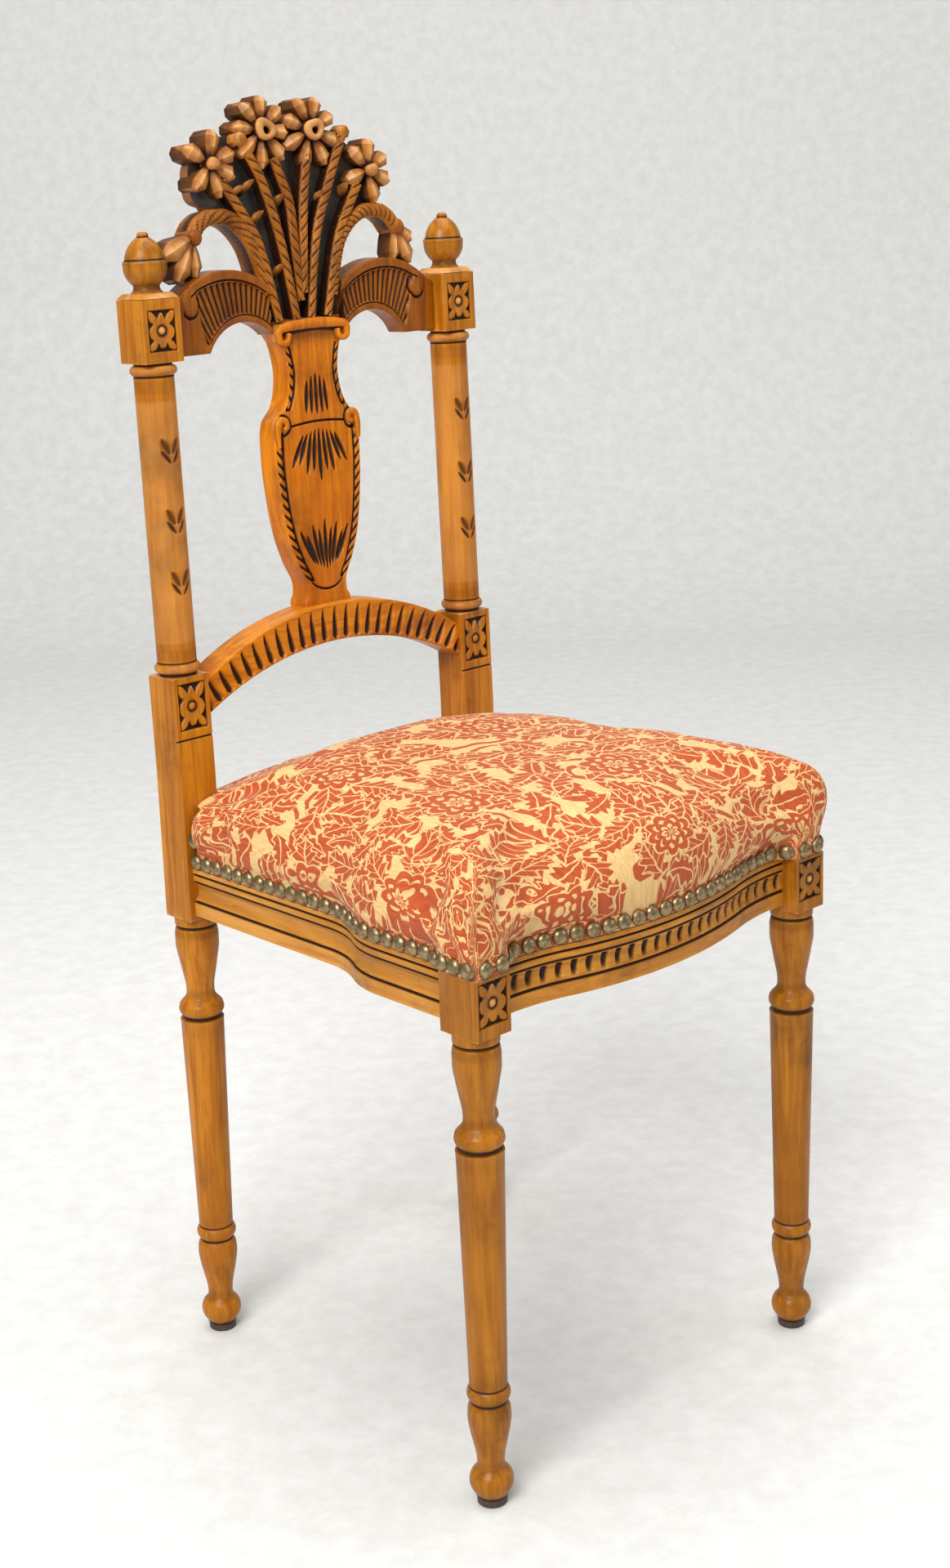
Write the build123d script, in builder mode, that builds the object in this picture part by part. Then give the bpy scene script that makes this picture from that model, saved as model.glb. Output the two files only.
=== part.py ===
"""A carved wooden side chair with a flower bouquet crest, in millimetres.

The chair stands on Z = 0 and faces -Y, so the pieces at +X are called right.
Everything above the bend of the rear posts is drawn on the leaning plane of the back,
where heights run up the back from the floor line. The bouquet leans a little further.
"""

import math
import os

from build123d import *

os.makedirs("parts", exist_ok=True)

# Plan of the legs
front_leg_spacing = 347.0
rear_post_spacing = 307.0
seat_depth = 346.5
rear_overhang = 10.6

# Heights of the seat frame
block_bottom = 367.0
block_drop = 5.0
rail_show_height = 39.0
land_height = 13.0

# Square blocks of the legs and posts
leg_block_width = 33.0
leg_block_depth = 38.0
post_width = 34.0
post_depth = 33.0

# Turning of the legs: from the block down to the knee ring, and from the glide up to the ankle ring
collar_diameter = 34.0
collar_height = 9.0
groove_diameter = 30.0
groove_height = 2.5
shoulder_diameter = 35.0
shoulder_height = 12.5
waist_diameter = 22.0
waist_height = 38.0
knee_rise = 10.5
knee_ring_diameter = 36.5
knee_ring_height = 15.0
shaft_top_diameter = 34.8
shaft_foot_diameter = 26.4
ankle_ring_diameter = 31.0
ankle_ring_height = 14.0
bulb_diameter = 32.0
bulb_height = 13.0
calf_height = 30.0
neck_diameter = 19.0
ball_diameter = 31.0
ball_height = 28.0
glide_diameter = 22.0
glide_height = 6.0
glide_chamfer = 1.0

# Back posts above the seat
bend_z = 487.5
back_lean = 1.36
mid_block_reveal = 8.5
column_diameter = 31.0
column_ring_diameter = 35.0
column_ring_height = 7.0
column_neck_diameter = 29.0
column_neck_height = 4.0
upper_block_width = 36.0
upper_block_reveal = 6.0
block_cap_height = 4.0

# Acorn finials
finial_neck_diameter = 20.5
finial_neck_height = 6.0
acorn_rim_diameter = 33.7
acorn_cup_height = 15.0
acorn_rim_height = 3.0
acorn_dome_diameter = 30.0
acorn_dome_height = 17.0
acorn_tip_diameter = 9.5
acorn_tip_height = 4.0
spigot_diameter = 10.0
spigot_length = 18.0

# Serpentine front rail, swept side rails and plain rear rail
front_rail_setback = 14.0
front_bow = 22.0
bow_share = 0.64
rail_end_straight = 10.0
side_front_setback = 7.0
side_rear_setback = 5.5
side_sweep_start = 92.0
side_sweep_length = 72.0
side_rear_thickness = 24.0
rear_rail_thickness = 22.0
land_depth = 5.0
lower_band_height = 11.0
cove_height = 14.0
cove_depth = 4.2
bead_height = 5.0
bead_groove = 1.8

# Mortise and tenon joints
tenon_thickness = 8.0
tenon_wall = 2.0
rail_tenon_height = 26.0
rail_tenon_rise = 8.0
rail_tenon_length = 12.0
back_tenon_height = 18.0
back_tenon_length = 12.0
vase_tenon_width = 24.0
vase_tenon_length = 10.0
joint_gap = 0.1
mortise_room = 1.0

# Arched back rail
arch_top = 597.5
arch_height = 31.7
arch_top_radius = 249.0
arch_bottom_radius = 270.0
arch_forward = 12.0
arch_depth = 27.0

# The board that the vase, the crest wings and the bouquet are cut from
board_forward = 4.5
board_thickness = 21.5

# Vase splat, from its foot on the arched rail up to its lip
vase_foot_half = 24.0
vase_foot_height = 14.5
vase_ankle_half = 20.5
vase_body_height = 106.0
vase_body_half = 44.0
vase_shoulder_height = 30.0
vase_shoulder_half = 42.0
vase_neck_height = 38.0
vase_neck_half = 25.5
vase_throat_height = 24.0
vase_throat_half = 30.0
lip_height = 19.0
lip_half = 38.0
lip_thickness = 12.0
lip_proud = 3.0
lip_roll_radius = 6.5
shoulder_roll_radius = 7.0
roll_proud = 2.0

# Crest wings, with heights above the lip of the vase
wing_inner_top = 27.0
wing_crown_top = 42.5
wing_lobe_setback = 8.5
wing_lobe_top = 24.5
wing_post_top = 20.0
wing_foot_drop = 20.0
wing_foot_run = 34.5
wing_arch_top = 1.5
wing_inner_drop = 11.0
wing_band = 9.0
wing_bead = 6.0
wing_recess = 3.5
wing_roll_radius = 7.5
crest_dowel_diameter = 6.0
crest_dowel_length = 24.0
crest_dowel_rise = 9.0

# Bouquet, in its own leaning plane, with heights above the lip of the vase
bouquet_lean = 5.5
daisy_turns = (18.0, -14.0)
ring_turns = (40.0, 25.0)
ground_depth = 11.0
ground_clearance = 1.0
stem_width = 7.5
stem_proud = 2.0
arch_stem_width = 10.0
petal_proud = 2.0
petal_width = 0.6
daisy_petal_count = 6
daisy_reach = 24.0
ring_petal_count = 8
ring_reach = 27.0
centre_proud = 5.5
daisy_centre_radius = 5.0
ring_centre_radius = 8.5
ring_centre_bore = 3.5
stub_radius = 6.5

# Upholstery
skirt_corner = 8.0
skirt_gap = 0.2
web_width = 50.0
web_thickness = 1.5
web_pitch_across = 84.0
web_pitch_along = 92.0
web_landing = 10.0
hessian_thickness = 1.0
hessian_inset = 9.0
pad_side_height = 46.0
pad_crown_height = 35.0
pad_swell = 0.022
dust_cover_thickness = 1.0
dust_cover_landing = 8.0
nail_radius = 6.2
nail_height = 4.2
nail_taper = 38.0
nail_sides = 8
nail_margin = 0.8
nail_lift = 0.3
front_nail_count = 11
block_nail_count = 2
side_nail_count = 23
rear_nail_count = 20

# Corner blocks and their screws
corner_block_leg = 45.0
corner_block_height = 36.0
corner_block_drop = 4.0
corner_screw_diameter = 4.0
corner_screw_length = 42.0
corner_screw_head_diameter = 8.0
corner_screw_head_height = 3.0

# Heights and places worked out from the sizes above
rail_bottom = block_bottom + block_drop
fabric_line = rail_bottom + rail_show_height
rail_top = fabric_line + land_height
rear_y = (seat_depth - rear_overhang) / 2
front_leg_y = rear_y - seat_depth
leg_x = front_leg_spacing / 2
post_x = rear_post_spacing / 2
block_inner_x = leg_x - leg_block_width / 2
block_outer_x = leg_x + leg_block_width / 2
block_front_y = front_leg_y - leg_block_depth / 2
block_rear_y = front_leg_y + leg_block_depth / 2
post_inner_x = post_x - post_width / 2
post_front_y = rear_y - post_depth / 2
rail_end_y = block_front_y + front_rail_setback
bow_y = rail_end_y - front_bow
bow_span = block_inner_x - rail_end_straight
bow_angle = math.degrees(2 * math.atan(front_bow / bow_span))
bow_radii = bow_span / math.sin(math.radians(bow_angle))
bow_radius = bow_share * bow_radii
dip_radius = bow_radii - bow_radius
side_front_x = block_outer_x - side_front_setback
side_rear_x = post_x + post_width / 2 - side_rear_setback
side_inner_rear_x = side_rear_x - side_rear_thickness
sweep_start_y = front_leg_y + side_sweep_start
sweep_angle = math.degrees(2 * math.atan((side_front_x - side_rear_x) / side_sweep_length))
sweep_radius = abs(side_sweep_length / 2 / math.sin(math.radians(sweep_angle)))
seat_rear_y = post_front_y + rear_rail_thickness
seat_middle_y = (block_front_y + seat_rear_y) / 2
rail_tenon_z = rail_bottom + rail_tenon_rise + rail_tenon_height / 2
front_tenon_y = rail_end_y + cove_depth + tenon_thickness / 2
side_tenon_front_x = (block_inner_x + side_front_x) / 2
side_tenon_rear_x = (side_inner_rear_x + side_rear_x) / 2
side_front_tenon_length = block_rear_y - front_tenon_y - tenon_thickness / 2 - tenon_wall - mortise_room
rear_tenon_y = post_front_y + rear_rail_thickness / 2
rear_tenon_length = side_tenon_rear_x - post_inner_x - tenon_thickness / 2 - tenon_wall - mortise_room
arch_end_top = arch_top - arch_top_radius + math.sqrt(arch_top_radius**2 - post_inner_x**2)
arch_foot = arch_top - arch_height
arch_end_foot = arch_foot - arch_bottom_radius + math.sqrt(arch_bottom_radius**2 - post_inner_x**2)
arch_tenon_z = (arch_end_top + arch_end_foot) / 2
arch_tenon_ahead = arch_forward - arch_depth / 2
board_ahead = board_forward - board_thickness / 2
ground_ahead = board_forward - (board_thickness + ground_depth) / 2
vase_ankle_z = arch_top + vase_foot_height
vase_body_z = vase_ankle_z + vase_body_height
vase_shoulder_z = vase_body_z + vase_shoulder_height
vase_neck_z = vase_shoulder_z + vase_neck_height
vase_throat_z = vase_neck_z + vase_throat_height
lip_top = vase_throat_z + lip_height
upper_block_inner_x = post_x - upper_block_width / 2
wing_tenon_z = lip_top + (wing_post_top - wing_foot_drop) / 2
mid_block_top = arch_end_top + mid_block_reveal
upper_block_bottom = lip_top - wing_foot_drop - upper_block_reveal / 3
upper_block_top = lip_top + wing_post_top + upper_block_reveal
finial_foot = upper_block_top + block_cap_height
hessian_z = rail_top + 2 * web_thickness
pad_seat_z = hessian_z + hessian_thickness
nail_z = fabric_line + nail_radius + nail_margin
corner_block_high = rail_top - corner_block_drop
corner_screw_z = (rail_tenon_z + rail_tenon_height / 2 + rail_top) / 2

# The leaning planes of the back and of the bouquet
lean = math.radians(back_lean)
back_up = Vector(0, math.sin(lean), math.cos(lean))
back_ahead = Vector(0, -math.cos(lean), math.sin(lean))
back_foot = Vector(0, rear_y - bend_z * math.tan(lean), 0)
post_axis = Axis(back_foot + Vector(post_x, 0, 0), back_up)


def back_plane(ahead=0.0, x=0.0):
    """The plane of the back, moved ahead of the post axes; local y is the height up the back."""
    return Plane(back_foot + back_ahead * ahead + Vector(x, 0, 0), x_dir=(1, 0, 0), z_dir=back_ahead)


def level_plane(height, x=0.0):
    """The plane square to the back at a height on it."""
    return Plane(back_foot + back_up * height + Vector(x, 0, 0), x_dir=(1, 0, 0), z_dir=back_up)


def back_box(x, height, ahead, size_x, size_up, size_ahead, mode=Mode.ADD):
    """A block centred at a place on the back."""
    place = back_plane(ahead, x).from_local_coords((0, height, 0))
    with Locations(Location(place, (90 - back_lean, 0, 0))):
        Box(size_x, size_up, size_ahead, mode=mode)


bouquet_tilt = math.radians(bouquet_lean)
bouquet_foot = back_plane(board_forward).from_local_coords((0, lip_top, 0))
bouquet_ahead = Vector(0, -math.cos(bouquet_tilt), math.sin(bouquet_tilt))


def bouquet_plane(ahead=0.0):
    """The leaning face of the bouquet; local y is the height above the lip of the vase."""
    return Plane(bouquet_foot + bouquet_ahead * ahead, x_dir=(1, 0, 0), z_dir=bouquet_ahead)


def keep(piece, name):
    """Labels a finished piece and writes it."""
    piece.part.label = name
    export_step(piece.part, f"parts/{name}.step")


def keep_pair(right, name):
    """Writes a right-hand piece and its mirror image on the left."""
    with BuildPart() as left:
        mirror(right.part, about=Plane.YZ)
    keep(right, f"{name}_right")
    keep(left, f"{name}_left")


def leg_profile(x, y):
    """Half the outline of a turned leg under its square block, on a plane through its axis."""
    collar_foot = block_bottom - collar_height
    groove_foot = collar_foot - groove_height
    shoulder_z = groove_foot - shoulder_height
    waist_z = shoulder_z - waist_height
    knee_top = waist_z - knee_rise
    knee_foot = knee_top - knee_ring_height
    neck_z = glide_height + ball_height
    bulb_z = neck_z + calf_height
    bulb_top = bulb_z + bulb_height
    ankle_foot = bulb_top + groove_height
    ankle_top = ankle_foot + ankle_ring_height
    collar, groove, shoulder = collar_diameter / 2, groove_diameter / 2, shoulder_diameter / 2
    waist, knee, ankle = waist_diameter / 2, knee_ring_diameter / 2, ankle_ring_diameter / 2
    shaft_top, shaft_foot = shaft_top_diameter / 2, shaft_foot_diameter / 2
    bulb, neck, ball = bulb_diameter / 2, neck_diameter / 2, ball_diameter / 2
    hip, hip_z = 0.65 * shoulder + 0.35 * waist, (shoulder_z + waist_z) / 2
    calf, calf_z = (bulb + neck) / 2, (bulb_z + neck_z) / 2
    with BuildSketch(Plane((x, y, 0), x_dir=(1, 0, 0), z_dir=(0, -1, 0)), mode=Mode.PRIVATE) as profile:
        with BuildLine():
            Polyline((0, glide_height), (0, block_bottom), (collar, block_bottom), (collar, collar_foot),
                     (groove, collar_foot), (groove, groove_foot), (0.95 * shoulder, groove_foot))
            ThreePointArc((0.95 * shoulder, groove_foot), (shoulder, shoulder_z), (hip, hip_z))
            ThreePointArc((hip, hip_z), (0.3 * hip + 0.7 * waist, 0.4 * hip_z + 0.6 * waist_z), (waist, waist_z))
            ThreePointArc((waist, waist_z), (1.05 * waist, (waist_z + knee_top) / 2), (0.8 * knee, knee_top))
            ThreePointArc((0.8 * knee, knee_top), (knee, (knee_top + knee_foot) / 2), (0.82 * knee, knee_foot))
            Polyline((0.82 * knee, knee_foot), (0.82 * knee, knee_foot - groove_height),
                     (shaft_top, knee_foot - 2 * groove_height), (shaft_foot, ankle_top))
            ThreePointArc((shaft_foot, ankle_top), (ankle, (ankle_top + ankle_foot) / 2), (0.86 * ankle, ankle_foot))
            Line((0.86 * ankle, ankle_foot), (0.86 * ankle, bulb_top))
            ThreePointArc((0.86 * ankle, bulb_top), (bulb, bulb_z), (calf, calf_z))
            ThreePointArc((calf, calf_z), (0.25 * calf + 0.75 * neck, 0.4 * calf_z + 0.6 * neck_z), (neck, neck_z))
            ThreePointArc((neck, neck_z), (ball, (neck_z + glide_height) / 2), (glide_diameter / 2, glide_height))
            Line((glide_diameter / 2, glide_height), (0, glide_height))
        make_face()
    return profile.sketch


def front_curve(inset=0.0):
    """The right half of the serpentine front, from the middle of the bow to its straight end."""
    bow = JernArc((0, bow_y + inset), (1, 0), bow_radius, bow_angle)
    return JernArc(bow @ 1, bow % 1, dip_radius, -bow_angle)


def side_curve(inset=0.0):
    """The two arcs of the right side's sweep, from front to rear."""
    first = JernArc((side_front_x - inset, sweep_start_y), (0, 1), sweep_radius, sweep_angle)
    return first, JernArc(first @ 1, first % 1, sweep_radius, -sweep_angle)


def front_rail_plan(height, inset):
    """The plan of the front rail at a height, with its outer face cut back by inset."""
    with BuildSketch(Plane.XY.offset(height), mode=Mode.PRIVATE) as plan:
        with BuildLine():
            dip = front_curve(inset)
            Polyline(dip @ 1, (block_inner_x, rail_end_y + inset), (block_inner_x, block_rear_y), (0, block_rear_y))
            mirror(about=Plane.YZ)
        make_face()
    return plan.sketch


def side_rail_plan(height, inset):
    """The plan of the right side rail at a height, with its outer face cut back by inset."""
    with BuildSketch(Plane.XY.offset(height), mode=Mode.PRIVATE) as plan:
        with BuildLine():
            first, second = side_curve(inset)
            Polyline(second @ 1, (side_rear_x - inset, post_front_y), (side_inner_rear_x, post_front_y),
                     (block_inner_x, block_rear_y), (side_front_x - inset, block_rear_y), first @ 0)
        make_face()
    return plan.sketch


def seat_plan(height, inset=0.0, growth=1.0, ease=0.0):
    """The plan of the covered seat at a height, drawn in by inset and grown about its middle.

    Ease draws the corners over the leg blocks back towards the rails and rounds them.
    """

    def at(x, y):
        return (growth * x, seat_middle_y + growth * (y - seat_middle_y))

    face_y = block_front_y + inset + ease * front_rail_setback / 2
    edge_x = block_outer_x - inset - ease * side_front_setback / 2
    rail_x = side_front_x - inset
    rear_x = side_rear_x - inset
    rear_corner = rear_rail_thickness - inset
    front_corner = skirt_corner * (1 + ease)
    with BuildSketch(Plane.XY.offset(height), mode=Mode.PRIVATE) as plan:
        with BuildLine():
            bow = JernArc(at(0, bow_y + inset), (1, 0), growth * bow_radius, bow_angle)
            dip = JernArc(bow @ 1, bow % 1, growth * dip_radius, -bow_angle)
            Polyline(dip @ 1, at(block_inner_x, face_y), at(edge_x - front_corner, face_y))
            corner = JernArc(at(edge_x - front_corner, face_y), (1, 0), growth * front_corner, 90)
            Polyline(corner @ 1, at(edge_x, block_rear_y), at(rail_x, block_rear_y + rail_end_straight),
                     at(rail_x, sweep_start_y))
            first = JernArc(at(rail_x, sweep_start_y), (0, 1), growth * sweep_radius, sweep_angle)
            second = JernArc(first @ 1, first % 1, growth * sweep_radius, -sweep_angle)
            Line(second @ 1, at(rear_x, seat_rear_y - inset - rear_corner))
            corner = JernArc(at(rear_x, seat_rear_y - inset - rear_corner), (0, 1), growth * rear_corner, 90)
            Line(corner @ 1, at(0, seat_rear_y - inset))
            mirror(about=Plane.YZ)
        make_face()
    return plan.sketch


def rail_moulding():
    """Heights and cut-back depths of the rails' moulded face, from the bottom up."""
    half = bead_groove / 2
    band_top = rail_bottom + lower_band_height
    cove_foot = band_top + bead_groove
    cove_top = cove_foot + cove_height
    bead_foot = cove_top + bead_groove
    bead_top = bead_foot + bead_height
    return ((rail_bottom, 0), (band_top, 0), (band_top + half, bead_groove), (cove_foot, half),
            (cove_foot + 0.3 * cove_height, cove_depth), (cove_foot + 0.7 * cove_height, cove_depth),
            (cove_top, half), (cove_top + half, bead_groove), (bead_foot, 0), (bead_top, 0),
            (bead_top + half, bead_groove), (bead_top + bead_groove, 0), (fabric_line, 0))


def mortise(length, thickness, height):
    """The size of a box that cuts a mortise for a tenon, centred on the joint's face."""
    return 2 * (length + mortise_room), thickness + 2 * joint_gap, height + 2 * joint_gap


# Corners of the seat frame's inside, where the corner blocks sit
side_run = (Vector(side_inner_rear_x, post_front_y) - Vector(block_inner_x, block_rear_y)).normalized()
front_corner = Vector(block_inner_x, block_rear_y)
rear_corner = Vector(side_inner_rear_x, post_front_y)
front_block_points = (front_corner, front_corner - Vector(corner_block_leg, 0),
                      front_corner + side_run * corner_block_leg)
rear_block_points = (rear_corner, rear_corner - Vector(corner_block_leg, 0),
                     rear_corner - side_run * corner_block_leg)


def screw_plane(points):
    """The plane of a corner block's long face, where its screw's head seats, looking into the corner."""
    corner, first, second = points
    middle = (first + second) * 0.5
    return Plane(middle + Vector(0, 0, corner_screw_z), x_dir=(0, 0, 1), z_dir=corner - middle)


def screw_hole(points):
    """Cuts a corner screw's hole in the part in hand."""
    with BuildSketch(screw_plane(points), mode=Mode.PRIVATE) as hole:
        Circle(corner_screw_diameter / 2 + joint_gap)
    extrude(hole.sketch, amount=corner_screw_length + mortise_room, mode=Mode.SUBTRACT)


# Front legs, each one piece from the square block to the foot
with BuildPart() as front_leg:
    with Locations((leg_x, front_leg_y, (block_bottom + fabric_line) / 2)):
        Box(leg_block_width, leg_block_depth, fabric_line - block_bottom)
    with BuildSketch(Plane.XY.offset(fabric_line)):
        with Locations((leg_x - land_depth / 2, front_leg_y + land_depth / 2)):
            land = Rectangle(leg_block_width - land_depth, leg_block_depth - land_depth)
        fillet(land.vertices().group_by(Axis.Y)[0].sort_by(Axis.X)[-1], skirt_corner)
    extrude(amount=land_height)
    revolve(leg_profile(leg_x, front_leg_y), axis=Axis((leg_x, front_leg_y, 0), (0, 0, 1)))
    with Locations((block_inner_x, front_tenon_y, rail_tenon_z)):
        Box(*mortise(rail_tenon_length, tenon_thickness, rail_tenon_height), mode=Mode.SUBTRACT)
    with Locations(Location((side_tenon_front_x, block_rear_y, rail_tenon_z), (0, 0, 90))):
        Box(*mortise(side_front_tenon_length, tenon_thickness, rail_tenon_height), mode=Mode.SUBTRACT)
    screw_hole(front_block_points)

# Rear posts, each one piece from the foot to the upper block, bent above the seat
with BuildPart() as rear_post:
    with Locations((post_x, rear_y, (block_bottom + bend_z) / 2)):
        Box(post_width, post_depth, bend_z - block_bottom)
    back_box(post_x, (bend_z + mid_block_top) / 2 - groove_height, 0,
             post_width, mid_block_top - bend_z + 2 * groove_height, post_depth)
    back_box(post_x, (upper_block_bottom + upper_block_top) / 2, 0,
             upper_block_width, upper_block_top - upper_block_bottom, post_depth)
    with BuildSketch(level_plane(upper_block_top, post_x)):
        Rectangle(upper_block_width, post_depth)
    extrude(amount=block_cap_height, taper=45)
    revolve(leg_profile(post_x, rear_y), axis=Axis((post_x, rear_y, 0), (0, 0, 1)))
    with BuildSketch(back_plane(0, post_x)):
        with BuildLine():
            neck, ring, column = column_neck_diameter / 2, column_ring_diameter / 2, column_diameter / 2
            low_ring = mid_block_top + column_neck_height
            high_ring = upper_block_bottom - column_neck_height
            Polyline((0, upper_block_bottom), (0, mid_block_top), (neck, mid_block_top), (neck, low_ring))
            ThreePointArc((neck, low_ring), (ring, low_ring + column_ring_height / 2),
                          (column, low_ring + column_ring_height))
            Line((column, low_ring + column_ring_height), (column, high_ring - column_ring_height))
            ThreePointArc((column, high_ring - column_ring_height), (ring, high_ring - column_ring_height / 2),
                          (neck, high_ring))
            Polyline((neck, high_ring), (neck, upper_block_bottom), (0, upper_block_bottom))
        make_face()
    revolve(axis=post_axis)
    with BuildSketch(level_plane(finial_foot, post_x)):
        Circle(spigot_diameter / 2 + joint_gap)
    extrude(amount=-(spigot_length + mortise_room), mode=Mode.SUBTRACT)
    with Locations(Location((side_tenon_rear_x, post_front_y, rail_tenon_z), (0, 0, 90))):
        Box(*mortise(rail_tenon_length, tenon_thickness, rail_tenon_height), mode=Mode.SUBTRACT)
    with Locations((post_inner_x, rear_tenon_y, rail_tenon_z)):
        Box(*mortise(rear_tenon_length, tenon_thickness, rail_tenon_height), mode=Mode.SUBTRACT)
    back_box(post_inner_x, arch_tenon_z, arch_tenon_ahead,
             *mortise(back_tenon_length, back_tenon_height, tenon_thickness), mode=Mode.SUBTRACT)
    back_box(upper_block_inner_x, wing_tenon_z, board_ahead,
             *mortise(back_tenon_length, back_tenon_height, tenon_thickness), mode=Mode.SUBTRACT)
    screw_hole(rear_block_points)

# Acorn finials on spigots
with BuildPart() as finial:
    neck, rim, dome = finial_neck_diameter / 2, acorn_rim_diameter / 2, acorn_dome_diameter / 2
    tip, spigot = acorn_tip_diameter / 2, spigot_diameter / 2
    neck_top = finial_foot + finial_neck_height
    cup_top = neck_top + acorn_cup_height
    rim_top = cup_top + acorn_rim_height
    dome_top = rim_top + acorn_dome_height
    tip_top = dome_top + acorn_tip_height
    with BuildSketch(back_plane(0, post_x)):
        with BuildLine():
            Polyline((0, tip_top), (0, finial_foot - spigot_length), (spigot, finial_foot - spigot_length),
                     (spigot, finial_foot), (1.2 * neck, finial_foot))
            ThreePointArc((1.2 * neck, finial_foot), (neck, (finial_foot + neck_top) / 2), (neck, neck_top))
            ThreePointArc((neck, neck_top), (0.88 * rim, neck_top + 0.38 * acorn_cup_height), (rim, cup_top))
            Polyline((rim, cup_top), (rim, rim_top), (dome, rim_top))
            ThreePointArc((dome, rim_top), (0.78 * dome, rim_top + 0.5 * acorn_dome_height), (tip, dome_top))
            Polyline((tip, dome_top), (0.8 * tip, tip_top), (0, tip_top))
        make_face()
    revolve(axis=post_axis)

# Serpentine front rail with tenons into the leg blocks
with BuildPart() as front_rail:
    loft([front_rail_plan(height, inset) for height, inset in rail_moulding()], ruled=True)
    extrude(front_rail_plan(fabric_line, land_depth), amount=land_height)
    with Locations((0, front_tenon_y, rail_tenon_z)):
        Box(2 * (block_inner_x + rail_tenon_length), tenon_thickness, rail_tenon_height)
    screw_hole(front_block_points)
    screw_hole([Vector(-point.X, point.Y) for point in front_block_points])

# Swept side rails with tenons into the leg block and the post
with BuildPart() as side_rail:
    loft([side_rail_plan(height, inset) for height, inset in rail_moulding()], ruled=True)
    extrude(side_rail_plan(fabric_line, land_depth), amount=land_height)
    with Locations((side_tenon_front_x, block_rear_y, rail_tenon_z)):
        Box(tenon_thickness, 2 * side_front_tenon_length, rail_tenon_height)
    with Locations((side_tenon_rear_x, post_front_y, rail_tenon_z)):
        Box(tenon_thickness, 2 * rail_tenon_length, rail_tenon_height)
    screw_hole(front_block_points)
    screw_hole(rear_block_points)

# Plain rear rail between the posts
with BuildPart() as rear_rail:
    with Locations((0, rear_tenon_y, (rail_bottom + fabric_line) / 2)):
        Box(2 * post_inner_x, rear_rail_thickness, rail_show_height)
    with Locations((0, rear_tenon_y - land_depth / 2, (fabric_line + rail_top) / 2)):
        Box(2 * post_inner_x, rear_rail_thickness - land_depth, land_height)
    with Locations((0, rear_tenon_y, rail_tenon_z)):
        Box(2 * (post_inner_x + rear_tenon_length), tenon_thickness, rail_tenon_height)

# Arched back rail, mortised for the foot of the vase
with BuildPart() as arched_rail:
    with BuildSketch(back_plane(arch_forward)):
        with BuildLine():
            ThreePointArc((-post_inner_x, arch_end_top), (0, arch_top), (post_inner_x, arch_end_top))
            Line((post_inner_x, arch_end_top), (post_inner_x, arch_end_foot))
            ThreePointArc((post_inner_x, arch_end_foot), (0, arch_foot), (-post_inner_x, arch_end_foot))
            Line((-post_inner_x, arch_end_foot), (-post_inner_x, arch_end_top))
        make_face()
    extrude(amount=-arch_depth)
    for side in (-1, 1):
        back_box(side * post_inner_x, arch_tenon_z, arch_tenon_ahead, 2 * back_tenon_length, back_tenon_height,
                 tenon_thickness)
    back_box(0, arch_top, board_ahead, vase_tenon_width + 2 * joint_gap, 2 * (vase_tenon_length + mortise_room),
             tenon_thickness + 2 * joint_gap, mode=Mode.SUBTRACT)

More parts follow.
